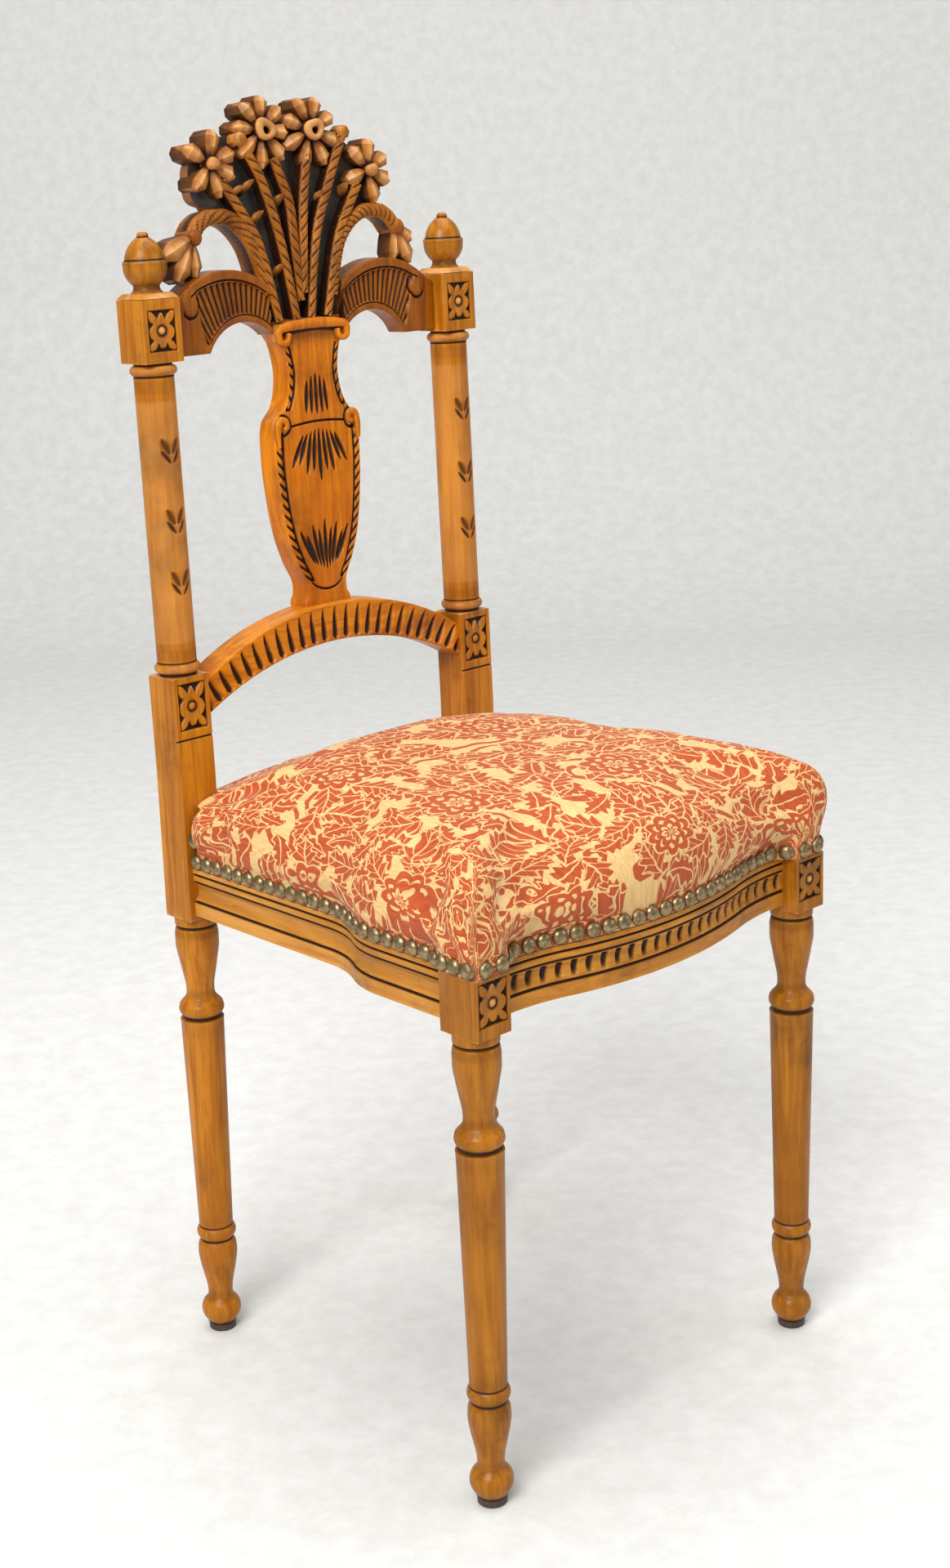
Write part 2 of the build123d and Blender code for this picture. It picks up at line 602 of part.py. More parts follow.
# Vase splat standing on the arched rail, tenoned at its foot and its lip
with BuildPart() as vase_splat:
    hollow = ((vase_shoulder_half + vase_neck_half) / 2 - roll_proud, vase_shoulder_z + 0.3 * vase_neck_height)
    with BuildSketch(back_plane(board_forward)):
        with BuildLine():
            foot = arch_top - vase_foot_height
            Polyline((0, foot), (vase_foot_half, foot), (vase_foot_half, arch_top))
            ThreePointArc((vase_foot_half, arch_top),
                          (0.9 * vase_ankle_half + 0.1 * vase_foot_half, arch_top + vase_foot_height / 2),
                          (vase_ankle_half, vase_ankle_z))
            ThreePointArc((vase_ankle_half, vase_ankle_z),
                          (0.3 * vase_ankle_half + 0.7 * vase_body_half, vase_ankle_z + 0.42 * vase_body_height),
                          (vase_body_half, vase_body_z))
            ThreePointArc((vase_body_half, vase_body_z),
                          (vase_body_half, vase_body_z + 0.55 * vase_shoulder_height),
                          (vase_shoulder_half, vase_shoulder_z))
            Line((vase_shoulder_half, vase_shoulder_z), hollow)
            ThreePointArc(hollow, (vase_neck_half, vase_neck_z), (vase_throat_half, vase_throat_z))
            Polyline((vase_throat_half, vase_throat_z), (lip_half, lip_top - lip_thickness), (lip_half, lip_top),
                     (0, lip_top))
            mirror(about=Plane.YZ)
        make_face()
        with Locations((-vase_shoulder_half + shoulder_roll_radius, vase_shoulder_z),
                       (vase_shoulder_half - shoulder_roll_radius, vase_shoulder_z)):
            Circle(shoulder_roll_radius)
    extrude(amount=-board_thickness)
    with BuildSketch(back_plane(board_forward)):
        with BuildLine():
            lip_foot = lip_top - lip_thickness
            ThreePointArc((-lip_half, lip_foot), (0, lip_foot + lip_proud), (lip_half, lip_foot))
            Polyline((lip_half, lip_foot), (lip_half, lip_top), (-lip_half, lip_top), (-lip_half, lip_foot))
        make_face()
    extrude(amount=lip_proud)
    with BuildSketch(back_plane(board_forward)):
        with Locations((-lip_half + lip_roll_radius, lip_foot), (lip_half - lip_roll_radius, lip_foot)):
            Circle(lip_roll_radius)
        with Locations((-vase_shoulder_half + shoulder_roll_radius, vase_shoulder_z),
                       (vase_shoulder_half - shoulder_roll_radius, vase_shoulder_z)):
            Circle(shoulder_roll_radius)
    extrude(amount=roll_proud)
    with BuildSketch(back_plane(arch_forward)):
        with Locations((0, arch_top - arch_top_radius)):
            Circle(arch_top_radius + joint_gap)
    extrude(amount=-2 * arch_depth, mode=Mode.SUBTRACT)
    back_box(0, arch_top, board_ahead, vase_tenon_width, 2 * vase_tenon_length, tenon_thickness)
    back_box(0, lip_top, ground_ahead, vase_tenon_width, 2 * vase_tenon_length, tenon_thickness)

# Crest wings from the upper blocks to the bouquet, with a recessed field between band and bead
with BuildPart() as crest_wing:
    lobe_x = upper_block_inner_x - wing_lobe_setback
    foot_x = upper_block_inner_x - wing_foot_run
    inner_x = lip_half + joint_gap
    crown_x = (inner_x + lobe_x) / 2
    hollow_x = (inner_x + foot_x) / 2
    inner_top = (inner_x, lip_top + wing_inner_top)
    lobe = (lobe_x, lip_top + wing_lobe_top)
    foot = (foot_x, lip_top - wing_foot_drop)
    inner_foot = (inner_x, lip_top - wing_inner_drop)
    band_end = (lobe_x - 2 * wing_roll_radius, lobe[1] - wing_band / 2)
    bead_end = (foot_x + wing_bead / 2, foot[1] + wing_bead)
    with BuildSketch(back_plane(board_forward)):
        with BuildLine():
            ThreePointArc(inner_top, (crown_x, lip_top + wing_crown_top), lobe)
            Polyline(lobe, (upper_block_inner_x, lip_top + wing_post_top), (upper_block_inner_x, foot[1]), foot)
            ThreePointArc(foot, (hollow_x, lip_top + wing_arch_top), inner_foot)
            Line(inner_foot, inner_top)
        make_face()
    extrude(amount=-board_thickness)
    with BuildSketch(back_plane(board_forward)):
        with BuildLine():
            ThreePointArc((inner_x, inner_top[1] - wing_band), (crown_x, lip_top + wing_crown_top - wing_band),
                          band_end)
            Line(band_end, bead_end)
            ThreePointArc(bead_end, (hollow_x, lip_top + wing_arch_top + wing_bead),
                          (inner_x, inner_foot[1] + wing_bead))
            Line((inner_x, inner_foot[1] + wing_bead), (inner_x, inner_top[1] - wing_band))
        make_face()
    extrude(amount=-wing_recess, mode=Mode.SUBTRACT)
    with BuildSketch(back_plane(board_forward - wing_recess)):
        with Locations((lobe_x - wing_roll_radius, lobe[1] - wing_recess)):
            Circle(wing_roll_radius)
    extrude(amount=wing_recess + roll_proud)
    back_box(upper_block_inner_x, wing_tenon_z, board_ahead, 2 * back_tenon_length, back_tenon_height,
             tenon_thickness)
    dowel_place = back_plane(ground_ahead).from_local_coords((0, lip_top + crest_dowel_rise, 0))
    with Locations(Location((lip_half, dowel_place.Y, dowel_place.Z), (0, 90, 0))):
        Cylinder(crest_dowel_diameter / 2 + joint_gap, crest_dowel_length + 2 * mortise_room, mode=Mode.SUBTRACT)

# Bouquet: flowers the full depth of the board, stems in relief on a sunk ground, two drooping flowers
trunk_top = wing_inner_top + ground_clearance
ground_points = ((-lip_half, 0), (-lip_half, trunk_top), (-46, 52), (-72, 80), (-96, 108), (-78, 128),
                 (-48, 142), (-27, 150), (22, 150), (52, 142), (74, 120), (98, 104), (78, 82), (56, 72), (44, 48),
                 (lip_half, trunk_top), (lip_half, 0))
daisies = ((-81, 124), (79, 114))
ring_flowers = ((-27, 147.5), (22.5, 146.5))
stems = (((-28, 0), (-39, 52), (-72, 112)), ((-13, 0), (-21, 62), (-50, 140)), ((-6, 18), (-5, 72), (-20, 132)),
         ((-4, 18), (4, 72), (17, 132)), ((3, 0), (18, 66), (55, 142)), ((20, 0), (38, 58), (68, 106)))
arch_stems = (((-44, 48), (-74, 82), (-108, 66)), ((38, 48), (74, 80), (104, 64)))
drooping_flowers = (((-100, 74), (-122, 76), (-136, 58), (-126, 46), (-118, 37), (-107, 47), (-104, 60)),
                    ((98, 74), (106, 78), (120, 60), (119, 38), (108, 44), (99, 48), (97, 60)))


def petals(count, reach, turn):
    """Tapered petals round a flower's hub, added to the sketch in hand."""
    wide = petal_width * reach / 2
    outline = ((0, -0.12 * reach), (0.55 * reach, -wide), (0.9 * reach, -0.7 * wide), (reach, 0),
               (0.9 * reach, 0.7 * wide), (0.55 * reach, wide), (0, 0.12 * reach))
    with PolarLocations(0, count, start_angle=turn):
        Polygon(*outline, align=None)


with BuildPart() as bouquet:
    with BuildSketch(bouquet_plane(-board_thickness)):
        with BuildLine():
            Polyline(*ground_points, close=True)
        make_face()
    extrude(amount=board_thickness - ground_depth)
    with BuildSketch(bouquet_plane(-board_thickness)):
        for flower, turn in zip(daisies, daisy_turns):
            with Locations(flower):
                petals(daisy_petal_count, daisy_reach, turn)
        for flower, turn in zip(ring_flowers, ring_turns):
            with Locations(flower):
                petals(ring_petal_count, ring_reach, turn)
    extrude(amount=board_thickness + petal_proud)
    with BuildSketch(bouquet_plane(-board_thickness)):
        for points in drooping_flowers:
            Polygon(*points, align=None)
        for start, middle, end in arch_stems:
            SlotArc(Edge.make_three_point_arc(start, middle, end), arch_stem_width)
    extrude(amount=board_thickness)
    with BuildSketch(bouquet_plane(-ground_depth)):
        for start, middle, end in stems:
            SlotArc(Edge.make_three_point_arc(start, middle, end), stem_width)
        with Locations(stems[1][2], stems[4][2]):
            Circle(stub_radius)
    extrude(amount=ground_depth + stem_proud)
    with BuildSketch(bouquet_plane(0)):
        with Locations(*daisies):
            Circle(daisy_centre_radius)
        with Locations(*ring_flowers):
            Circle(ring_centre_radius)
            Circle(ring_centre_bore, mode=Mode.SUBTRACT)
    extrude(amount=centre_proud)
    split(bisect_by=level_plane(lip_top), keep=Keep.TOP)
    back_box(0, lip_top, ground_ahead, vase_tenon_width + 2 * joint_gap, 2 * (vase_tenon_length + mortise_room),
             tenon_thickness + 2 * joint_gap, mode=Mode.SUBTRACT)
    with Locations(Location((-lip_half, dowel_place.Y, dowel_place.Z), (0, 90, 0)),
                   Location((lip_half, dowel_place.Y, dowel_place.Z), (0, 90, 0))):
        Cylinder(crest_dowel_diameter / 2 + joint_gap, crest_dowel_length + 2 * mortise_room, mode=Mode.SUBTRACT)

# Dowels between the wings and the bouquet
with BuildPart() as crest_dowels:
    with Locations(Location((-lip_half, dowel_place.Y, dowel_place.Z), (0, 90, 0)),
                   Location((lip_half, dowel_place.Y, dowel_place.Z), (0, 90, 0))):
        Cylinder(crest_dowel_diameter / 2, crest_dowel_length)


def corner_block(points):
    """A three-cornered glue block in a corner of the seat frame, bored for its screw."""
    with BuildPart() as block:
        with BuildSketch(Plane.XY.offset(corner_block_high - corner_block_height)):
            Polygon(*((point.X, point.Y) for point in points), align=None)
        extrude(amount=corner_block_height)
        screw_hole(points)
    return block


# Glue blocks in the corners of the seat frame, with a screw through each into its leg
front_corner_block = corner_block(front_block_points)
rear_corner_block = corner_block(rear_block_points)
with BuildPart() as corner_screws:
    for points in (front_block_points, rear_block_points):
        with BuildSketch(screw_plane(points)):
            Circle(corner_screw_diameter / 2)
        extrude(amount=corner_screw_length)
        with BuildSketch(screw_plane(points)):
            Circle(corner_screw_head_diameter / 2)
        extrude(amount=-corner_screw_head_height)
    mirror(about=Plane.YZ)

# Webbing across the frame, the hessian over it and the dust cover under the rails
with BuildPart() as webbing_lengthwise:
    with Locations((0, (block_rear_y + post_front_y) / 2, rail_top + web_thickness / 2)):
        with GridLocations(web_pitch_across, 0, 3, 1):
            Box(web_width, post_front_y - block_rear_y + 2 * web_landing, web_thickness)
with BuildPart() as webbing_crosswise:
    for step in (-1, 0, 1):
        strap_y = (block_rear_y + post_front_y) / 2 + step * web_pitch_along
        share = (strap_y - block_rear_y) / (post_front_y - block_rear_y)
        inner_x = block_inner_x + share * (side_inner_rear_x - block_inner_x)
        with Locations((0, strap_y, rail_top + 1.5 * web_thickness)):
            Box(2 * (inner_x + web_landing), web_width, web_thickness)


def clear_of_posts(low, high):
    """Cuts away the room that the rear posts take from the part in hand."""
    with Locations((-post_x, rear_y, (low + high) / 2), (post_x, rear_y, (low + high) / 2)):
        Box(post_width + 2 * skirt_gap, post_depth + 2 * skirt_gap, high - low, mode=Mode.SUBTRACT)


with BuildPart() as hessian:
    extrude(seat_plan(hessian_z, hessian_inset), amount=hessian_thickness)
    clear_of_posts(rail_top, pad_seat_z)
with BuildPart() as dust_cover:
    reach = dust_cover_landing
    with BuildSketch(Plane.XY.offset(rail_bottom - dust_cover_thickness)):
        Polygon((-block_inner_x - reach, block_rear_y - reach), (block_inner_x + reach, block_rear_y - reach),
                (side_inner_rear_x + reach, post_front_y + reach), (-side_inner_rear_x - reach, post_front_y + reach),
                align=None)
    extrude(amount=dust_cover_thickness)
    clear_of_posts(block_bottom, rail_bottom)
    with Locations((-leg_x, front_leg_y, rail_bottom), (leg_x, front_leg_y, rail_bottom)):
        Box(leg_block_width + 2 * skirt_gap, leg_block_depth + 2 * skirt_gap, 2 * block_drop, mode=Mode.SUBTRACT)

# Stuffed seat: a skirt over the lands of the rails, drawn-in sides that swell, and a crowned top
pad_edge = rail_top + pad_side_height
pad_crown = pad_edge + pad_crown_height
pad_sections = ((rail_top, 1.0, 0.0), (rail_top + 0.35 * pad_side_height, 1.0 + pad_swell, 0.1),
                (rail_top + 0.75 * pad_side_height, 1.0 + 0.8 * pad_swell, 0.3), (pad_edge, 0.98, 0.5),
                (pad_edge + 0.2 * pad_crown_height, 0.94, 0.7), (pad_edge + 0.47 * pad_crown_height, 0.83, 1.0),
                (pad_edge + 0.75 * pad_crown_height, 0.63, 1.0), (pad_edge + 0.93 * pad_crown_height, 0.38, 1.0),
                (pad_crown, 0.14, 1.0))
with BuildPart() as seat_pad:
    extrude(seat_plan(fabric_line), amount=land_height)
    loft([seat_plan(height, 0, growth, ease) for height, growth, ease in pad_sections], ruled=True)
    extrude(seat_plan(fabric_line, land_depth - skirt_gap), amount=pad_seat_z - fabric_line, mode=Mode.SUBTRACT)
    clear_of_posts(fabric_line, pad_crown)


def nail_planes(path, count):
    """Planes for a row of nails spaced evenly along a path round the seat, facing out to its right."""
    planes = []
    for place in range(count):
        share = (place + 0.5) / count
        along = path.tangent_at(share)
        out = Vector(along.Y, -along.X, 0)
        planes.append(Plane(path.position_at(share) + out * nail_lift, x_dir=(0, 0, 1), z_dir=out))
    return planes


def nails(planes):
    """A row of low domed nails, faceted, one on each plane."""
    with BuildPart() as row:
        with BuildSketch(*planes):
            RegularPolygon(nail_radius, nail_sides)
        extrude(amount=nail_height, taper=nail_taper)
    return row


# Nail rows along the front, the sides and the back, over the skirt of the cover
with BuildLine(Plane.XY.offset(nail_z)) as front_edge:
    front_curve()
with BuildLine(Plane.XY.offset(nail_z)) as front_corner_edge:
    Line((bow_span, rail_end_y), (block_inner_x, block_front_y))
with BuildLine(Plane.XY.offset(nail_z)) as front_block_edge:
    Line((block_inner_x, block_front_y), (block_outer_x - skirt_corner, block_front_y))
with BuildLine(Plane.XY.offset(nail_z)) as side_block_edge:
    Line((block_outer_x, block_front_y + skirt_corner), (block_outer_x, block_rear_y))
with BuildLine(Plane.XY.offset(nail_z)) as side_corner_edge:
    Line((block_outer_x, block_rear_y), (side_front_x, block_rear_y + rail_end_straight))
with BuildLine(Plane.XY.offset(nail_z)) as side_edge:
    first, second = side_curve()
    Line((side_front_x, block_rear_y + 1.25 * rail_end_straight), first @ 0)
    Line(second @ 1, (side_rear_x, post_front_y))
with BuildLine(Plane.XY.offset(nail_z)) as rear_edge:
    Line((post_inner_x, seat_rear_y), (-post_inner_x, seat_rear_y))
with BuildPart() as nails_front:
    add(nails(nail_planes(front_edge.wire(), front_nail_count) + nail_planes(front_corner_edge.wire(), 1)
              + nail_planes(front_block_edge.wire(), block_nail_count)).part)
    mirror(about=Plane.YZ)
nails_side = nails(nail_planes(side_block_edge.wire(), block_nail_count) + nail_planes(side_corner_edge.wire(), 1)
                   + nail_planes(side_edge.wire(), side_nail_count))
nails_back = nails(nail_planes(rear_edge.wire(), rear_nail_count))


def foot_glide(x, y):
    """A round glide under a foot, with its lower edge broken."""
    with BuildPart() as glide:
        with BuildSketch(Plane((x, y, 0))):
            Circle(glide_diameter / 2)
        extrude(amount=glide_height)
        chamfer(glide.faces().sort_by(Axis.Z)[0].edges(), glide_chamfer)
    return glide


keep_pair(front_leg, "front_leg")
keep_pair(rear_post, "rear_post")
keep_pair(finial, "finial")
keep(front_rail, "front_rail")
keep_pair(side_rail, "side_rail")
keep(rear_rail, "rear_rail")
keep(arched_rail, "arched_rail")
keep(vase_splat, "vase_splat")
keep_pair(crest_wing, "crest_wing")
keep(bouquet, "bouquet")
keep(crest_dowels, "crest_dowels")
keep_pair(front_corner_block, "front_corner_block")
keep_pair(rear_corner_block, "rear_corner_block")
keep(corner_screws, "corner_screws")
keep(webbing_lengthwise, "webbing_lengthwise")
keep(webbing_crosswise, "webbing_crosswise")
keep(hessian, "hessian")
keep(dust_cover, "dust_cover")
keep(seat_pad, "seat_pad")
keep(nails_front, "nails_front")
keep_pair(nails_side, "nails")
keep(nails_back, "nails_back")
keep_pair(foot_glide(leg_x, front_leg_y), "front_glide")
keep_pair(foot_glide(post_x, rear_y), "rear_glide")
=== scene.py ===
"""A carved wooden chair dressed for rendering: carved wood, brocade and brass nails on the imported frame.

Sizes are millimetres in the chair's own frame, and become metres when a mesh is made.
The chair faces -Y. On its leaning back a place is given across, up the back and ahead of the post axes.
"""

import math

import bmesh
import bpy
import numpy as np
from mathutils import Matrix, Vector


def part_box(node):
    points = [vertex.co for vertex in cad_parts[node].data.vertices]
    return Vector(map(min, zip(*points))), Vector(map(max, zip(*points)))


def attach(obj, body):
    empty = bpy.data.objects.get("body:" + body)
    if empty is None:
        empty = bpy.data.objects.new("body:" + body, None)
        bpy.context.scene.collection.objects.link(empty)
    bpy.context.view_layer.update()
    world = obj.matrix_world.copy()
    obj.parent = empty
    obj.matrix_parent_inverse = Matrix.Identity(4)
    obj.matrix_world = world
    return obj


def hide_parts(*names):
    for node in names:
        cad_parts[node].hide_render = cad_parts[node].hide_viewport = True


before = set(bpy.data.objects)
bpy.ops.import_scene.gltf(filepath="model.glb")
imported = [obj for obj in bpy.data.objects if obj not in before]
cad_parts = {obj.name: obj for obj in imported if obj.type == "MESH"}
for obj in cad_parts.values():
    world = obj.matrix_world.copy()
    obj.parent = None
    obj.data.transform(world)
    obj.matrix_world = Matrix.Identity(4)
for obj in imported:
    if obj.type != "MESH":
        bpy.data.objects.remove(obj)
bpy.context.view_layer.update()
metre = 0.001


def node_box(node):
    """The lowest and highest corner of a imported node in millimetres."""
    low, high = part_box(node)
    return np.array(low) / metre, np.array(high) / metre


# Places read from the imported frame
dust_cover_rise = 4.0
leg_x, front_leg_y = np.mean(node_box("front_glide_right"), axis=0)[:2]
post_x, rear_y = np.mean(node_box("rear_glide_right"), axis=0)[:2]
glide_height = node_box("front_glide_right")[1][2]
block_bottom = node_box("dust_cover")[0][2] - dust_cover_rise
rail_bottom = node_box("front_rail")[0][2]
rail_top = node_box("front_rail")[1][2]

# Seat frame
leg_block_width = 33.0
leg_block_depth = 38.0
post_width = 34.0
post_depth = 33.0
land_height = 13.0
land_depth = 5.0
front_rail_setback = 14.0
front_bow = 22.0
bow_share = 0.64
rail_end_straight = 10.0
side_front_setback = 7.0
side_rear_setback = 5.5
side_sweep_start = 92.0
side_sweep_length = 72.0
side_rear_thickness = 24.0
rear_rail_thickness = 22.0
skirt_corner = 8.0

# Back
bend_z = 487.5
back_lean = math.radians(1.36)
mid_block_top = 565.3
upper_block_bottom = 807.0
upper_block_top = 855.0
upper_block_width = 36.0
block_cap_height = 4.0
arch_top = 597.5
arch_foot = 565.8
arch_top_radius = 249.0
arch_bottom_radius = 270.0
arch_forward = 12.0
arch_rear = -15.0
board_forward = 4.5
board_rear = -17.0
lip_half = 38.0
lip_top = 829.0
bouquet_lean = math.radians(5.5)

# Places worked out from the sizes
fabric_line = rail_top - land_height
block_inner_x = leg_x - leg_block_width / 2
block_outer_x = leg_x + leg_block_width / 2
block_front_y = front_leg_y - leg_block_depth / 2
block_rear_y = front_leg_y + leg_block_depth / 2
post_inner_x = post_x - post_width / 2
post_front_y = rear_y - post_depth / 2
upper_inner_x = post_x - upper_block_width / 2
rail_end_y = block_front_y + front_rail_setback
bow_y = rail_end_y - front_bow
bow_span = block_inner_x - rail_end_straight
bow_angle = 2 * math.atan(front_bow / bow_span)
bow_radii = bow_span / math.sin(bow_angle)
side_front_x = block_outer_x - side_front_setback
side_rear_x = post_x + post_width / 2 - side_rear_setback
side_inner_rear_x = side_rear_x - side_rear_thickness
sweep_start_y = front_leg_y + side_sweep_start
sweep_angle = 2 * math.atan((side_front_x - side_rear_x) / side_sweep_length)
sweep_radius = side_sweep_length / 2 / math.sin(sweep_angle)
seat_rear_y = post_front_y + rear_rail_thickness
seat_middle_y = (block_front_y + seat_rear_y) / 2


# Curves


def flowing(knots, values):
    """A curve through the knots that doesn't overshoot them, as a function."""
    x, y = np.array(knots, float), np.array(values, float)
    step = np.diff(x)
    slope = np.diff(y) / step
    lean = np.concatenate([slope[:1], np.zeros(len(x) - 2), slope[-1:]])
    same = slope[:-1] * slope[1:] > 0
    lean[1:-1][same] = 2 / (1 / slope[:-1][same] + 1 / slope[1:][same])

    def at(place):
        place = np.clip(place, x[0], x[-1])
        i = np.clip(np.searchsorted(x, place) - 1, 0, len(step) - 1)
        t = (place - x[i]) / step[i]
        rise = t * t * (3 - 2 * t)
        bend = t * (1 - t) * step[i]
        return y[i] * (1 - rise) + y[i + 1] * rise + bend * ((1 - t) * lean[i] - t * lean[i + 1])

    return at


def arc(start, via, end, count=24):
    """Points on the circle from start through via to end."""
    (ax, ay), (bx, by), (cx, cy) = start, via, end
    d = 2 * (ax * (by - cy) + bx * (cy - ay) + cx * (ay - by))
    a, b, c = ax * ax + ay * ay, bx * bx + by * by, cx * cx + cy * cy
    across = a * (by - cy) + b * (cy - ay) + c * (ay - by)
    up = a * (cx - bx) + b * (ax - cx) + c * (bx - ax)
    centre = np.array([across, up]) / d
    first, mid, last = (math.atan2(p[1] - centre[1], p[0] - centre[0]) for p in (start, via, end))
    sweep = (last - first) % (2 * math.pi)
    if (mid - first) % (2 * math.pi) > sweep:
        sweep -= 2 * math.pi
    angles = first + sweep * np.linspace(0, 1, count)
    radius = math.hypot(ax - centre[0], ay - centre[1])
    return centre + radius * np.stack([np.cos(angles), np.sin(angles)], axis=1)


def trace(start, *steps):
    """An outline from a start point; a step is the end of a line, or the via point and the end of an arc."""
    points = [np.array([start], float)]
    for step in steps:
        last = points[-1][-1]
        points.append(np.array([step], float) if np.ndim(step) == 1 else arc(last, *step)[1:])
    return np.vstack(points)


def turning_arc(start, heading, radius, turn, count=24):
    """Points on an arc that leaves start along a heading and turns left, or right by a negative angle."""
    side = math.copysign(1, turn)
    angles = heading - side * math.pi / 2 + turn * np.linspace(0, 1, count)
    centre = np.array(start) + side * radius * np.array([-math.sin(heading), math.cos(heading)])
    return centre + radius * np.stack([np.cos(angles), np.sin(angles)], axis=1)


def lengths(points):
    """The distance along a line of points at each of them."""
    return np.concatenate([[0], np.cumsum(np.linalg.norm(np.diff(points, axis=0), axis=1))])


def spaced(points, count):
    """As many points spaced evenly along a line."""
    along = lengths(points)
    places = np.linspace(0, along[-1], count)
    return np.stack([np.interp(places, along, points[:, axis]) for axis in range(points.shape[1])], axis=1)


def paced(points, pace):
    """Points a pace apart along a line."""
    return spaced(points, max(2, round(lengths(points)[-1] / pace) + 1))


def curved(route, pace):
    """Points a pace apart on a smooth line through a route."""
    route = np.array(route, float)
    along = lengths(route)
    places = np.linspace(0, along[-1], max(3, round(along[-1] / pace)))
    return np.stack([flowing(along, route[:, axis])(places) for axis in range(route.shape[1])], axis=1)


def headings(points):
    """Unit directions along a line of points."""
    along = np.gradient(points, axis=0)
    return along / np.linalg.norm(along, axis=1)[:, None]


# Places in the frame


def joined(*parts):
    """Places from their parts, each a number or an array."""
    return np.stack(np.broadcast_arrays(*parts), axis=-1)


def upright(x, y):
    """Places round a vertical axis: across, ahead and up."""
    return lambda across, ahead, height: joined(x + across, y - ahead, height)


def leaning(foot_y, foot_z, lean):
    """Places on a board that leans back from its foot: across it, up it and ahead of it."""
    rise, run = math.cos(lean), math.sin(lean)
    return lambda across, height, ahead: joined(across, foot_y + height * run - ahead * rise,
                                                foot_z + height * rise + ahead * run)


# The back, and the bouquet, which leans further and has its heights above the lip of the vase
back = leaning(rear_y - bend_z * math.tan(back_lean), 0.0, back_lean)
bouquet_foot = back(0.0, lip_top, board_forward)
bloom = leaning(bouquet_foot[1], bouquet_foot[2], bouquet_lean)


def post(across, height, ahead):
    """Places on the right rear post, which is upright below its bend and leans above it."""
    low = upright(post_x, rear_y)(across, ahead, height)
    below = np.broadcast_to(height, low.shape[:-1])[..., None] < bend_z
    return np.where(below, low, back(post_x + across, height, ahead))


# Carving


class Carving:
    """Gathers the surfaces of one piece, and how dark each point is with old stain and painted shade, or how
    pale with wear and painted highlights.
    """

    def __init__(self):
        self.points, self.faces, self.stain_and_shading, self.size = [], [], [], 0

    def loft(self, loops, stain_and_shading=0.0, closed=True, capped=True):
        """Skins a stack of loops with as many points each, given as rows by columns by place."""
        rows, columns = loops.shape[:2]
        index = self.size + np.arange(rows * columns).reshape(rows, columns)
        ring = np.hstack([index, index[:, :1]]) if closed else index
        quads = np.stack([ring[:-1, :-1], ring[:-1, 1:], ring[1:, 1:], ring[1:, :-1]], axis=-1)
        self.faces += quads.reshape(-1, 4).tolist()
        if capped:
            self.faces += [index[0, ::-1].tolist(), index[-1].tolist()]
        self.points.append(loops.reshape(-1, 3))
        self.stain_and_shading.append(np.broadcast_to(stain_and_shading, (rows, columns)).ravel())
        self.size += rows * columns

    def mirrored(self):
        """The same carving on the other side of the chair."""
        other = Carving()
        other.points = [points * (-1, 1, 1) for points in self.points]
        other.faces = [face[::-1] for face in self.faces]
        other.stain_and_shading, other.size = self.stain_and_shading, self.size
        return other


# The lobed leaf of the rosettes: half a width by height, and its top and foot by how far they are across
leaf_sides = ((-1, -0.78, -0.58, -0.44, -0.3, -0.05, 0.16, 0.31, 0.46, 0.75, 1),
              (0.93, 0.97, 0.86, 0.66, 0.85, 0.94, 0.84, 0.62, 0.84, 0.97, 0.97))
leaf_top = ((0, 0.13, 0.27, 0.45, 0.75, 1), (0.93, 0.8, 0.6, 0.8, 0.97, 0.98))
leaf_foot = ((0, 0.17, 0.3, 0.5, 0.78, 1), (-0.88, -0.82, -0.64, -0.88, -0.97, -0.92))
rosette_depth = 2.6
rosette_bead = 3.1


